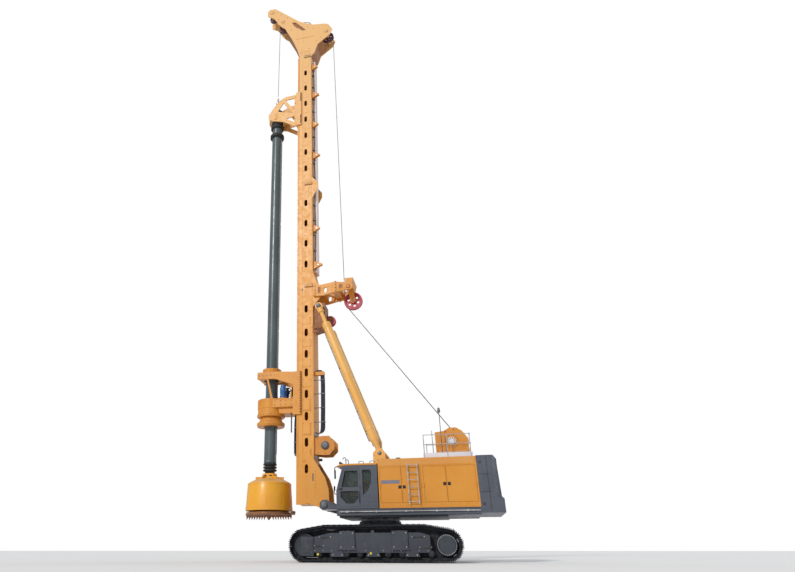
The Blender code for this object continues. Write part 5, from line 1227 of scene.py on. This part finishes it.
def arm_details():
    """Flanges, covers, hooks and bolts on the arms that carry the red sheave; thin dark plates inside the flanged
    rims paint the shade in the arms' openings.
    """
    flanges, caps, hooks, rows = bmesh.new(), bmesh.new(), bmesh.new(), []
    for side in (1, -1):
        plate(flanges, [[(1.40, 11.04), (1.46, 11.04), (1.46, 11.58), (1.40, 11.58)]],
              (side * 0.47, side * 0.645))
        plate(flanges, [[(2.36, 10.97), (2.46, 10.97), (2.46, 11.46), (2.36, 11.46)]],
              (side * 0.60, side * 0.625))
        for outline in ([(1.08, 11.19), (1.28, 11.17), (1.28, 11.44), (1.08, 11.42)],
                        [(2.10, 11.04), (2.26, 11.04), (2.26, 11.38), (2.10, 11.38)]):
            plate(flanges, band(outline, 0.025), (side * 0.600, side * 0.612))
            # A thin dark plate inside each rim paints the shade of the opening behind it.
            plate(caps, [band(outline, 0.025)[1]], (side * 0.600, side * 0.603))
        turned(caps, [(0.10, 0.0), (0.10, 0.02), (0.07, 0.028), (0.0, 0.028)], (0.85, side * 0.601, 11.27),
               (0, side, 0), 32, closed=False)
        for z in (11.10, 11.24, 11.38, 11.52):
            rows.append(((1.43, side * 0.645, z), (0, side, 0)))
        for z in (11.04, 11.22, 11.40):
            rows.append(((2.41, side * 0.625, z), (0, side, 0)))
        turned(caps, [(0.085, 0.0), (0.085, 0.012), (0.0, 0.016)], (0.72, side * 0.142, 10.75), (0, side, 0),
               24, closed=False)
    rod(flanges, (1.62, -0.50, 11.22), (2.30, 0.50, 11.22), 0.035, sides=12)
    rod(flanges, (1.62, 0.50, 11.30), (2.30, -0.50, 11.30), 0.035, sides=12)
    plate(caps, [[(0.66, 11.705), (1.00, 11.705), (0.98, 11.725), (0.68, 11.725)]], (-0.45, 0.45))
    for y in (0.30, -0.30):
        tube(hooks, smooth_line([(0.92, y, 11.22), (0.93, y, 11.10), (0.99, y, 11.03), (1.04, y, 11.08),
                                 (1.03, y, 11.14)], 6), 0.016, 8)
    new_piece("arm_flanges", flanges, "mast", "gear_paint", 0.004)
    new_piece("arm_caps_and_painted_hole_shade", caps, "mast", "shaded_paint", 0.003)
    new_piece("arm_hooks", hooks, "mast", "steel")
    bolts("arm_bolts", "mast", rows, 0.020)


# ---------------------------------------------------------------- rotary drive and guide
def rotary_drive():
    """The rotary drive: housing, motors, hoses, gussets, bolts, claw pads and the turning sleeve."""
    low = span("drive_gearbox")[0]
    face, bottom, top = low.x, low.z, 6.38
    place = (KELLY_X, 0, 0)
    gear = bmesh.new()
    turned(gear, [(0.565, top), (0.590, top - 0.02), (0.590, top - 0.40), (0.575, top - 0.42),
                  (0.575, bottom + 0.14), (0.598, bottom + 0.12), (0.598, bottom + 0.02),
                  (0.58, bottom + 0.005), (0.315, bottom + 0.005), (0.315, top)], place, sides=80)
    outline = [(face + 0.002, -0.545), (KELLY_X - 0.20, -0.545), (KELLY_X - 0.20, 0.545),
               (face + 0.002, 0.545)]
    plate(gear, [outline], (bottom + 0.34, top - 0.045), "XY")
    plate(gear, [[(face + 0.002, bottom + 0.10), (KELLY_X - 0.50, bottom + 0.10),
                  (KELLY_X - 0.42, bottom + 0.34), (face + 0.002, bottom + 0.34)]], (-0.44, 0.44))
    for y in (-0.26, 0.26):
        turned(gear, [(0.20, 6.40), (0.20, 6.34), (0.12, 6.34), (0.12, 6.40)], (3.92, y, 0), sides=40)
    new_piece("drive_housing", gear, "sledge", "gear_paint", 0.006, replaces=("drive_gearbox",))

    motors, ports, hoses = bmesh.new(), bmesh.new(), bmesh.new()
    for y in (-0.26, 0.26):
        turned(motors, [(0.148, 6.40), (0.148, 6.47), (0.125, 6.50), (0.125, 6.62), (0.135, 6.64),
                        (0.135, 6.86), (0.115, 6.90), (0.115, 6.97), (0.09, 6.99),
                        (0.0, 6.99)][::-1] + [(0.0, 6.40)],
               (3.92, y, 0), sides=48, closed=False)
        box(ports, (3.76, 3.83), (y - 0.06, y + 0.06), (6.72, 6.86))
        for k in range(3):
            off = 0.035 * (k - 1)
            points = [(3.79, y + off, 6.80), (3.66, y + off, 6.84), (3.55, y + off * 0.8, 6.70),
                      (3.52, y + off * 0.8, 6.45 + 0.03 * k), (3.56, y + off, 6.37)]
            tube(hoses, smooth_line(points, 7), 0.017, 9)
    new_piece("drive_motors", motors, "sledge", "blue_paint", 0.003)
    for k in range(5):
        y = -0.16 + 0.08 * k
        points = [(3.405, y, 5.70), (3.45, y, 5.85), (3.43, y, 6.5), (3.43, y, 7.0), (3.41, y, 7.3)]
        tube(hoses, smooth_line(points, 6), 0.017, 9)
    for k in range(8):
        y = -0.28 + 0.08 * k
        low_end = 4.02 + 0.05 * (k % 3)
        points = [(3.335, y, 5.66), (3.325, y, 5.2), (3.318, y, 4.5), (3.325, y + 0.012, low_end),
                  (3.352, y + 0.028, low_end - 0.04), (3.378, y + 0.036, low_end + 0.02),
                  (3.382, y + 0.036, 4.6), (3.372, y + 0.036, 5.3), (3.350, y + 0.036, 5.66)]
        tube(hoses, smooth_line(points, 5), 0.0165, 8)
    for z in (4.5, 5.1):
        box(ports, (3.295, 3.405), (-0.31, 0.35), (z - 0.015, z + 0.015))
    rod(ports, (3.52, 0.30, 5.98), (3.52, 0.30, 4.92), 0.030, sides=16)
    new_piece("drive_motor_ports", ports, "sledge", "dark_steel", 0.004)
    new_piece("drive_hoses", hoses, "sledge", "hose_rubber")

    frame_shape, rows = bmesh.new(), []
    for side in (1, -1):
        for outline in ([(3.39, 6.90), (3.47, 6.90), (3.47, 6.36), (3.39, 6.36)],
                        [(3.39, 6.38), (3.56, 6.38), (3.395, 6.95)],
                        [(4.30, 6.335), (4.38, 6.335), (4.60, 7.245), (4.52, 7.245)]):
            plate(frame_shape, [outline], (side * 0.455, side * 0.545))
        plate(frame_shape, [[(3.40, 5.97), (4.34, 5.97), (4.34, 6.00), (3.40, 6.00)]],
              (side * 0.545, side * 0.56))
        plate(frame_shape, [[(3.40, 6.30), (4.34, 6.30), (4.34, 6.332), (3.40, 6.332)]],
              (side * 0.545, side * 0.56))
        for x in (3.48, 3.72, 3.96, 4.20):
            rows.append(((x, side * 0.545, 6.06), (0, side, 0)))
            rows.append(((x, side * 0.545, 6.24), (0, side, 0)))
        for x in (4.24, 4.42, 4.60, 4.78, 4.94):
            rows.append(((x, side * 0.5605, 7.39), (0, side, 0)))
    for x, y in circle(0, 0, 1, 24):
        if x > -0.3:
            rows.append(((KELLY_X + 0.592 * x, 0.592 * y, 5.70), (x, y, 0)))
            rows.append(((KELLY_X + 0.50 * x, 0.50 * y, top), (0, 0, 1)))
    rows += [((x, y, 7.76), (0, 0, 1)) for x, y in circle(KELLY_X, 0, 0.385, 12)]
    new_piece("drive_gussets", frame_shape, "sledge", "gear_paint", 0.005)
    bolts("drive_bolts", "sledge", rows, 0.020)
    pads = bmesh.new()
    for side in (1, -1):
        for i in range(16):
            z = 5.68 + 0.115 * i
            box(pads, (3.046, 3.085), (side * 0.579, side * 0.592), (z, z + 0.07))
    new_piece("drive_claw_pads", pads, "sledge", "black_rubber", 0.003)

    sleeve = bmesh.new()
    top_z, low_z = bottom - 0.004, span("drive_sleeve")[0].z
    turned(sleeve, [(0.455, top_z), (0.460, top_z - 0.06), (0.500, top_z - 0.14), (0.535, low_z + 0.165),
                    (0.590, low_z + 0.16), (0.600, low_z + 0.15), (0.600, low_z + 0.06),
                    (0.585, low_z + 0.045), (0.585, low_z + 0.01), (0.57, low_z), (0.305, low_z),
                    (0.305, top_z)], place, sides=80)
    new_piece("drive_sleeve_ring", sleeve, "sleeve", "gear_paint", 0.003,
              replaces=("drive_sleeve",))
    ring = circle(KELLY_X, 0, 0.557, 20)
    bolts("sleeve_bolts", "sleeve", [((x, y, low_z + 0.16), (0, 0, 1)) for x, y in ring], 0.022)


def guide_details():
    """Bolts and claw pads of the kelly bar's upper guide."""
    rows, liner = [], bmesh.new()
    for side in (1, -1):
        for x, z in ((3.40, 21.02), (3.40, 21.45), (3.40, 21.90), (3.40, 22.50), (3.40, 22.95), (3.90, 21.45),
                     (4.20, 22.80), (4.50, 22.48), (4.78, 21.84)):
            rows.append(((x, side * 0.42, z), (0, side, 0)))
        box(liner, (3.05, 3.09), (side * 0.579, side * 0.590), (20.95, 21.55))
        box(liner, (3.05, 3.09), (side * 0.579, side * 0.590), (22.45, 23.05))
    rows += [((x, y, 21.62), (0, 0, -1)) for x, y in circle(KELLY_X, 0, 0.415, 16)]
    bolts("guide_bolts", "guide", rows, 0.018)
    new_piece("guide_claw_pads", liner, "guide", "black_rubber", 0.003)


# ---------------------------------------------------------------- house
def cab_details():
    """Seals, pressed lines, handles, lamps, mirrors, roof hooks and the wiper."""
    seals, trim, hooks, lamps, glass, dark = (bmesh.new() for _ in range(6))
    outer = CAB_SIDE_Y
    door = [(0.57, 2.56), (1.21, 2.56), (1.06, 3.15), (0.57, 3.15)]
    low_window = [(0.57, 2.18), (0.74, 1.98), (1.02, 1.98), (1.24, 2.20), (1.25, 2.42), (0.57, 2.42)]
    quarter = [(0.08, 2.70), (0.20, 2.44), (0.40, 2.26), (0.40, 3.17), (0.12, 3.17), (0.06, 3.10)]
    door_seals = bmesh.new()
    for outline in (door, low_window):
        plate(door_seals, band(outline, 0.022), (outer - 0.004, outer + 0.008))
    plate(seals, band(quarter, 0.022), (outer - 0.004, outer + 0.008))
    new_piece("cab_door_seals", door_seals, "cab_door", "black_rubber", 0.003)
    for z in (1.90, 2.05, 2.20):
        box(trim, (-0.12, 0.44 - (z - 1.9) * 0.5), (outer, outer + 0.006), (z - 0.008, z + 0.008))
    for z in (2.70, 2.85, 3.00, 3.15):
        box(trim, (-0.14, 0.02), (outer, outer + 0.006), (z - 0.008, z + 0.008))
    new_piece("cab_pressed_lines", trim, "house", "slate_paint", 0.003)
    handle = bmesh.new()
    box(handle, (1.16, 1.28), (outer, outer + 0.012), (2.462, 2.528))
    tube(handle, smooth_line([(1.17, outer + 0.01, 2.50), (1.19, outer + 0.035, 2.50),
                              (1.25, outer + 0.035, 2.50), (1.27, outer + 0.01, 2.50)], 5), 0.008, 8)
    tube(handle, smooth_line([(0.53, outer, 2.02), (0.53, outer + 0.04, 2.05), (0.53, outer + 0.04, 2.36),
                              (0.53, outer, 2.39)], 5), 0.010, 8)
    new_piece("cab_door_handle", handle, "cab_door", "black_rubber", 0.002)
    for y in (0.92, 1.50):
        tube(hooks, smooth_line([(1.02, y, 3.38), (1.02, y, 3.56), (1.05, y, 3.64), (1.11, y, 3.64),
                                 (1.14, y, 3.58)],
                                6), 0.014, 10)
    for x in (-0.08, 0.34):
        tube(hooks, smooth_line([(x, 1.60, 3.38), (x, 1.60, 3.47), (x + 0.16, 1.60, 3.47),
                                 (x + 0.16, 1.60, 3.38)],
                                3), 0.012, 8)
    new_piece("cab_roof_hooks", hooks, "house", "dark_steel")
    for y in (0.90, 1.10, 1.34, 1.54):
        box(lamps, (1.20, 1.27), (y - 0.055, y + 0.055), (3.405, 3.485))
        box(glass, (1.27, 1.278), (y - 0.045, y + 0.045), (3.415, 3.475))
    tube(lamps, smooth_line([(1.30, 1.60, 3.30), (1.42, 1.66, 3.28), (1.43, 1.68, 3.10)], 5), 0.017, 8)
    box(lamps, (1.40, 1.44), (1.61, 1.75), (2.86, 3.18))
    tube(lamps, smooth_line([(1.38, 1.58, 2.30), (1.46, 1.62, 2.34), (1.47, 1.64, 2.50)], 5), 0.015, 8)
    box(lamps, (1.44, 1.48), (1.58, 1.70), (2.44, 2.60))
    new_piece("cab_lamps_and_mirrors", lamps, "house", "black_rubber", 0.006)
    new_piece("cab_lamp_glass", glass, "house", "lamp_glass", 0.002)
    slope = (1.40 - 1.14) / (3.34 - 2.45)
    for y in (0.905, 1.525):
        plate(seals, [[(1.398, 2.05), (1.406, 2.05), (1.406, 2.45), (1.398 - slope * 0.76, 3.21),
                       (1.385 - slope * 0.76, 3.21), (1.392, 2.45)]], (y - 0.012, y + 0.012))
    rod(seals, (1.398, 0.90, 2.062), (1.398, 1.53, 2.062), 0.011, sides=8)
    right = [(0.02, 2.30), (1.20, 2.30), (1.20, 2.56), (1.03, 3.15), (0.02, 3.15)]
    plate(seals, band(right, 0.022), (0.802, 0.814))
    new_piece("cab_window_seals", seals, "house", "black_rubber", 0.003)
    tube(dark, [(1.385, 1.215, 2.10), (1.395, 1.25, 2.30), (1.385, 1.30, 2.60)], 0.008, 8)
    box(dark, (1.36, 1.41), (1.18, 1.25), (1.98, 2.06))
    new_piece("cab_wiper", dark, "house", "black_rubber", 0.003)


def seat_and_controls():
    """The operator's seat on its stand, and the control levers."""
    low, high = span("operator_seat")
    middle = (low.y + high.y) / 2
    floor = low.z

    def cushion(name, centre, size, turn=0.0, puff=0.02):
        shape = bmesh.new()
        place = Matrix.Translation(centre) @ Matrix.Rotation(turn, 4, "Y") @ Matrix.Diagonal((*size, 1))
        bmesh.ops.create_cube(shape, size=1, matrix=Matrix.Identity(4))
        bmesh.ops.subdivide_edges(shape, edges=shape.edges, cuts=11, use_grid_fill=True)
        for v in shape.verts:
            p = v.co * 2
            round_off = Vector([math.copysign(abs(c) ** 0.8, c) for c in p])
            squeeze = 1 - 0.10 * (abs(p.x) ** 6 + abs(p.y) ** 6 + abs(p.z) ** 6) / 3
            channel = 1 - puff * 2 * (abs(math.cos(3 * math.pi * p.y)) < 0.12) * (abs(p.z) > 0.9)
            v.co = Vector((round_off.x * squeeze, round_off.y * squeeze, round_off.z * squeeze * channel)) / 2
        shape.transform(place)
        return new_piece(name, shape, "house", "seat_cloth", angle=70)

    base = cushion("seat_cushion", (0.40, middle, floor + 0.345), (0.50, 0.46, 0.13))
    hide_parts("operator_seat")
    back = cushion("seat_back", (0.085, middle, floor + 0.70), (0.11, 0.42, 0.60), math.radians(-8))
    rest = cushion("seat_head_rest", (0.035, middle, floor + 0.985), (0.07, 0.26, 0.07), math.radians(-8))
    stand = bmesh.new()
    for i in range(5):
        grow = 0.012 * (i % 2)
        box(stand, (0.22 - grow, 0.56 + grow), (middle - 0.13 - grow, middle + 0.13 + grow),
            (floor + 0.03 + 0.045 * i, floor + 0.075 + 0.045 * i))
    box(stand, (0.19, 0.59), (middle - 0.15, middle + 0.15), (floor + 0.001, floor + 0.03))
    new_piece("seat_stand", stand, "house", "black_rubber", 0.006)
    sticks = bmesh.new()
    for y in (middle - 0.18, middle + 0.18):
        rod(sticks, (1.06, y, floor + 0.555), (1.03, y, floor + 0.70), 0.011, sides=12)
        turned(sticks, [(0.0, 0.0), (0.022, 0.01), (0.027, 0.06), (0.02, 0.10), (0.0, 0.11)],
               (1.03, y, floor + 0.695), (-0.2, 0, 1), 20, closed=False)
    new_piece("control_levers", sticks, "house", "black_rubber")


def hood_details():
    """Door edges, latches, louvres, creases, vents and bolts of the hood."""
    half = HOOD_SIDE_Y
    stripe = bmesh.new()
    box(stripe, (-0.285, -0.985), (half - 0.001, half + 0.0025), (2.64, 2.77))
    new_piece("hood_stripe", stripe, "left_door_1", "band_paint")
    for body, side, low_x, high_x, handle_x, z in (
            ("left_door_1", 1, -1.04, -0.27, -0.98, 2.50), ("left_door_2", 1, -1.75, -1.06, -1.14, 2.50),
            ("left_door_3", 1, -2.66, -1.87, -2.60, 2.58), ("left_door_4", 1, -3.71, -2.68, -2.76, 2.58),
            ("right_door_1", -1, -1.99, -0.41, -1.91, 2.58), ("right_door_2", -1, -3.59, -2.01, -2.10, 2.58)):
        lip = bmesh.new()
        outline = [(low_x + 0.010, 1.992), (high_x - 0.010, 1.992), (high_x - 0.010, 3.228),
                   (low_x + 0.010, 3.228)]
        plate(lip, band(outline, 0.018), (side * (half - 0.001), side * (half + 0.006)))
        new_piece(body + "_edge", lip, body, "hood_paint", 0.002)
        grip = bmesh.new()
        box(grip, (handle_x - 0.055, handle_x + 0.055), (side * half, side * (half + 0.010)),
            (z - 0.035, z + 0.075))
        box(grip, (handle_x - 0.040, handle_x + 0.040), (side * (half + 0.010), side * (half + 0.024)),
            (z - 0.010, z + 0.020))
        turned(grip, [(0.014, 0.0), (0.014, 0.012), (0.0, 0.012)],
               (handle_x, side * (half + 0.009), z + 0.05), (0, side, 0), 16, closed=False)
        new_piece(body + "_latch", grip, body, "black_rubber", 0.003)
        if side < 0:
            vents = bmesh.new()
            for i in range(9):
                v = 2.95 - 0.05 * i
                box(vents, (low_x + 0.25, high_x - 0.25), (side * (half - 0.001), side * (half + 0.012)),
                    (v, v + 0.016), Matrix.Rotation(math.radians(20), 4, "X"))
            new_piece(body + "_louvres", vents, body, "hood_paint", 0.002)

    crease, rows, vents = bmesh.new(), [], bmesh.new()
    for side in (1, -1):
        box(crease, (-0.215, -3.765), (side * 1.5995, side * 1.606), (3.286, 3.300))
        box(crease, (-0.215, -3.765), (side * 1.5995, side * 1.606), (1.845, 1.862))
        for i in range(12):
            rows.append(((-0.35 - 0.30 * i, side * 1.6005, 1.91), (0, side, 0)))
    for x in (-0.62, -1.45, -2.30, -3.10):
        box(crease, (x - 0.010, x + 0.010), (-1.41, 1.41), (3.558, 3.572))
    for i in range(11):
        y = -0.50 + 0.10 * i
        box(vents, (-1.30, -0.75), (y - 0.030, y + 0.030), (3.556, 3.575),
            Matrix.Rotation(math.radians(12), 4, "X"))
    turned(vents, [(0.085, 3.56), (0.085, 3.80), (0.10, 3.82), (0.10, 3.92), (0.075, 3.93), (0.065, 3.62),
                   (0.065, 3.56)][::-1], (-0.75, -1.05, 0), sides=32)
    new_piece("hood_creases", crease, "house", "hood_paint", 0.003)
    new_piece("hood_roof_vents", vents, "house", "dark_steel", 0.003)
    bolts("hood_bolts", "house", rows, 0.010)


def deck_details():
    """Rails and strips along the deck, the front step and the counterweight's fittings."""
    rail, clamps, strip = bmesh.new(), bmesh.new(), bmesh.new()
    for side in (1, -1):
        tube(rail, smooth_line([(1.22, side * 1.60, 1.69), (1.18, side * 1.645, 1.69),
                                (0.0, side * 1.645, 1.69), (-2.0, side * 1.645, 1.69),
                                (-3.60, side * 1.645, 1.69), (-3.66, side * 1.60, 1.69)],
                               5), 0.024, 10)
        for i in range(5):
            x = 1.00 - 1.08 * i
            box(clamps, (x - 0.030, x + 0.030), (side * 1.600, side * 1.670), (1.660, 1.720))
        box(strip, (-3.76, 1.38), (side * 1.585, side * 1.597), (1.552, 1.574))
        box(strip, (-3.76, 1.38), (side * 1.599, side * 1.606), (1.775, 1.790))
    box(strip, (1.399, 1.408), (-1.58, 1.58), (1.60, 1.62))
    new_piece("deck_side_rail", rail, "house", "steel")
    new_piece("deck_rail_clamps", clamps, "house", "steel", 0.004)
    new_piece("deck_edge_strips", strip, "house", "black_rubber", 0.002)
    step = bmesh.new()
    plate(step, [[(1.42, 1.79), (2.02, 1.79), (2.02, 1.81), (1.42, 1.81)]], (0.68, 0.98))
    for i in range(7):
        rod(step, (1.48 + 0.08 * i, 0.69, 1.815), (1.48 + 0.08 * i, 0.97, 1.815), 0.006, sides=6)
    box(step, (1.39, 1.46), (0.70, 0.96), (1.66, 1.80))
    new_piece("front_step", step, "house", "steel", 0.003)

    seams, lamps = bmesh.new(), bmesh.new()
    high = span("counterweight")[1]
    for side in (1, -1):
        for z in (2.30, 2.90):
            box(seams, (high.x - 0.01, high.x - 0.42), (side * 1.597, side * 1.604), (z - 0.007, z + 0.007))
        box(seams, (high.x - 0.34, high.x - 0.355), (side * 1.597, side * 1.604), (1.66, 3.50))
        for x, z in ((high.x - 0.12, 3.32), (high.x - 0.12, 1.90)):
            turned(lamps, [(0.05, 0.0), (0.05, 0.01), (0.03, 0.014), (0.0, 0.014)], (x, side * 1.60, z),
                   (0, side, 0), 24, closed=False)
    for z in (2.50, 2.95):
        box(seams, (-4.497, -4.506), (-1.30, 1.30), (z - 0.006, z + 0.006))
    for side in (1, -1):
        box(lamps, (-4.590, -4.598), (side * 1.20, side * 1.42), (1.80, 1.90))
        box(lamps, (-4.497, -4.508), (side * 0.52, side * 0.56), (2.20, 3.30))
    new_piece("counterweight_seams", seams, "house", "black_rubber")
    new_piece("counterweight_fittings", lamps, "house", "frame_paint", 0.003)


def ladder_and_rails():
    """The side ladder, and the roof's boards and hand rails."""
    low, high = span("ladder")
    ladder = bmesh.new()
    out = high.y - 0.018
    for x in (-1.30, -1.66):
        tube(ladder, [(x, out, low.z + 0.002), (x, out, 2.6), (x, out, high.z - 0.002)], 0.0175, 12)
        for z in (2.10, 3.12):
            tube(ladder, [(x, 1.601, z), (x, out, z)], 0.013, 8)
    for i in range(6):
        z = low.z + 0.073 + i * 0.255
        tube(ladder, [(-1.30, out, z), (-1.66, out, z)], 0.014, 10)
    new_piece("side_ladder", ladder, "left_door_2", "steel", replaces=("ladder",))

    low, high = span("roof_rails")
    boards, rails = bmesh.new(), bmesh.new()
    for side in (1, -1):
        y = side * (high.y - 0.01)
        box(boards, (low.x + 0.002, high.x - 0.002), (y - 0.008, y + 0.008), (low.z + 0.001, low.z + 0.19))
        box(boards, (low.x + 0.002, high.x - 0.002), (y - 0.010, y + 0.010), (low.z + 0.165, low.z + 0.19))
        for x in (high.x - 0.05, (low.x + high.x) / 2, low.x + 0.07):
            tube(rails, [(x, y, low.z + 0.04), (x, y, high.z - 0.002)], 0.0165, 10)
        for z in (low.z + 0.51, low.z + 0.86):
            tube(rails, [(low.x + 0.03, y, z), (high.x - 0.03, y, z)], 0.0125, 10)
    box(boards, (low.x + 0.003, low.x + 0.019), (low.y + 0.01, high.y - 0.01), (low.z + 0.001, low.z + 0.19))
    for z in (low.z + 0.51, low.z + 0.86):
        tube(rails, [(low.x + 0.05, low.y + 0.02, z), (low.x + 0.05, high.y - 0.02, z)], 0.0125, 10)
    new_piece("roof_kick_boards", boards, "house", "pale_paint", 0.003,
              replaces=("roof_rails",))
    new_piece("roof_hand_rails", rails, "house", "steel")


def winch_details():
    """Hubs and bolts of both winches, the guard rails and the roof beacon."""
    white, rows, dots, mast_rails, lamp = bmesh.new(), [], bmesh.new(), bmesh.new(), bmesh.new()
    for side in (1, -1):
        turned(white,
               [(0.155, 0.0), (0.155, 0.030), (0.140, 0.042), (0.075, 0.042), (0.065, 0.050), (0.0, 0.050)],
               (-3.0, side * 0.681, 4.24), (0, side, 0), 48, closed=False)
        rows += bolt_ring((-3.0, 4.24), side * 0.722, 0.115, 10)
        rows += bolt_ring((-3.0, 4.24), side * 0.680, 0.25, 16)
        for x, z in ((-3.10, 4.68), (-2.80, 4.62)):
            turned(dots, [(0.024, 0.0), (0.024, 0.012), (0.0, 0.016)], (x, side * 0.680, z), (0, side, 0), 20,
                   closed=False)
        plate(white, band([(-3.50, 3.68), (-2.50, 3.68), (-2.50, 3.86), (-3.50, 3.86)], 0.012),
              (side * 0.680, side * 0.686))
    new_piece("main_winch_hubs", white, "house", "pale_paint", 0.003)
    bolts("main_winch_bolts", "house", rows, 0.018)
    new_piece("main_winch_marks", dots, "house", "red_paint")
    for y in (0.30, 0.42):
        rod(mast_rails, (-2.26, y, 3.57), (-2.26, y, 4.72), 0.014, sides=12)
    for z in (3.9, 4.3, 4.7):
        rod(mast_rails, (-2.26, 0.30, z), (-2.26, 0.42, z), 0.010, sides=8)
    rod(lamp, (-2.62, 1.02, 3.57), (-2.62, 1.02, 5.30), 0.014, sides=10)
    turned(lamp, [(0.0, 5.29), (0.05, 5.30), (0.055, 5.34), (0.05, 5.44), (0.03, 5.48), (0.0, 5.49)],
           (-2.62, 1.02, 0), sides=24, closed=False)
    new_piece("winch_guard_rails", mast_rails, "house", "steel")
    new_piece("roof_beacon", lamp, "house", "dark_steel")

    low_hub, low_rows = bmesh.new(), []
    centre = middle_of("low_winch_drum")
    for side in (1, -1):
        turned(low_hub,
               [(0.17, 0.0), (0.17, 0.03), (0.13, 0.045), (0.12, 0.075), (0.05, 0.080), (0.0, 0.080)],
               (centre.x, side * 0.421, centre.z), (0, side, 0), 40, closed=False)
        low_rows += bolt_ring(centre, side * 0.451, 0.148, 10)
        for x, z in ((-0.28, 0.22), (0.0, 0.31), (0.30, 0.28), (-0.28, -0.20), (0.0, -0.31), (0.30, -0.28)):
            low_rows.append(((centre.x + x, side * 0.42, centre.z + z), (0, side, 0)))
    new_piece("low_winch_hubs", low_hub, "mast", "dark_steel", 0.003)
    bolts("low_winch_bolts", "mast", low_rows, 0.016)


def support_details():
    """Bolts and hoses of the struts' support."""
    rows, lines = [], bmesh.new()
    for side in (1, -1):
        for z in (2.0, 2.3, 2.9, 3.2):
            rows.append(((0.0, side * 0.77, z), (0, side, 0)))
        for x, z in ((-0.30, 3.66), (-0.10, 3.62), (0.02, 3.50), (0.02, 3.80)):
            rows.append(((x, side * 0.77, z), (0, side, 0)))
        for k in range(2):
            y = side * (0.50 + 0.06 * k)
            tube(lines, smooth_line([(0.075, y, 1.86), (0.078, y, 2.6), (0.078, y, 3.3), (0.072, y, 3.55)],
                                    5), 0.014, 8)
    bolts("strut_support_bolts", "house", rows, 0.016)
    new_piece("strut_support_hoses", lines, "house", "hose_rubber")


# ---------------------------------------------------------------- build
finish_kept_nodes()
camera()
stage()
crawler()
kelly()
bucket()
bucket_gate()
struts()
rigging()
mast_joints()
mast_sides()
mast_rear()
head_details()
arm_details()
rotary_drive()
guide_details()
cab_details()
seat_and_controls()
hood_details()
deck_details()
ladder_and_rails()
winch_details()
support_details()
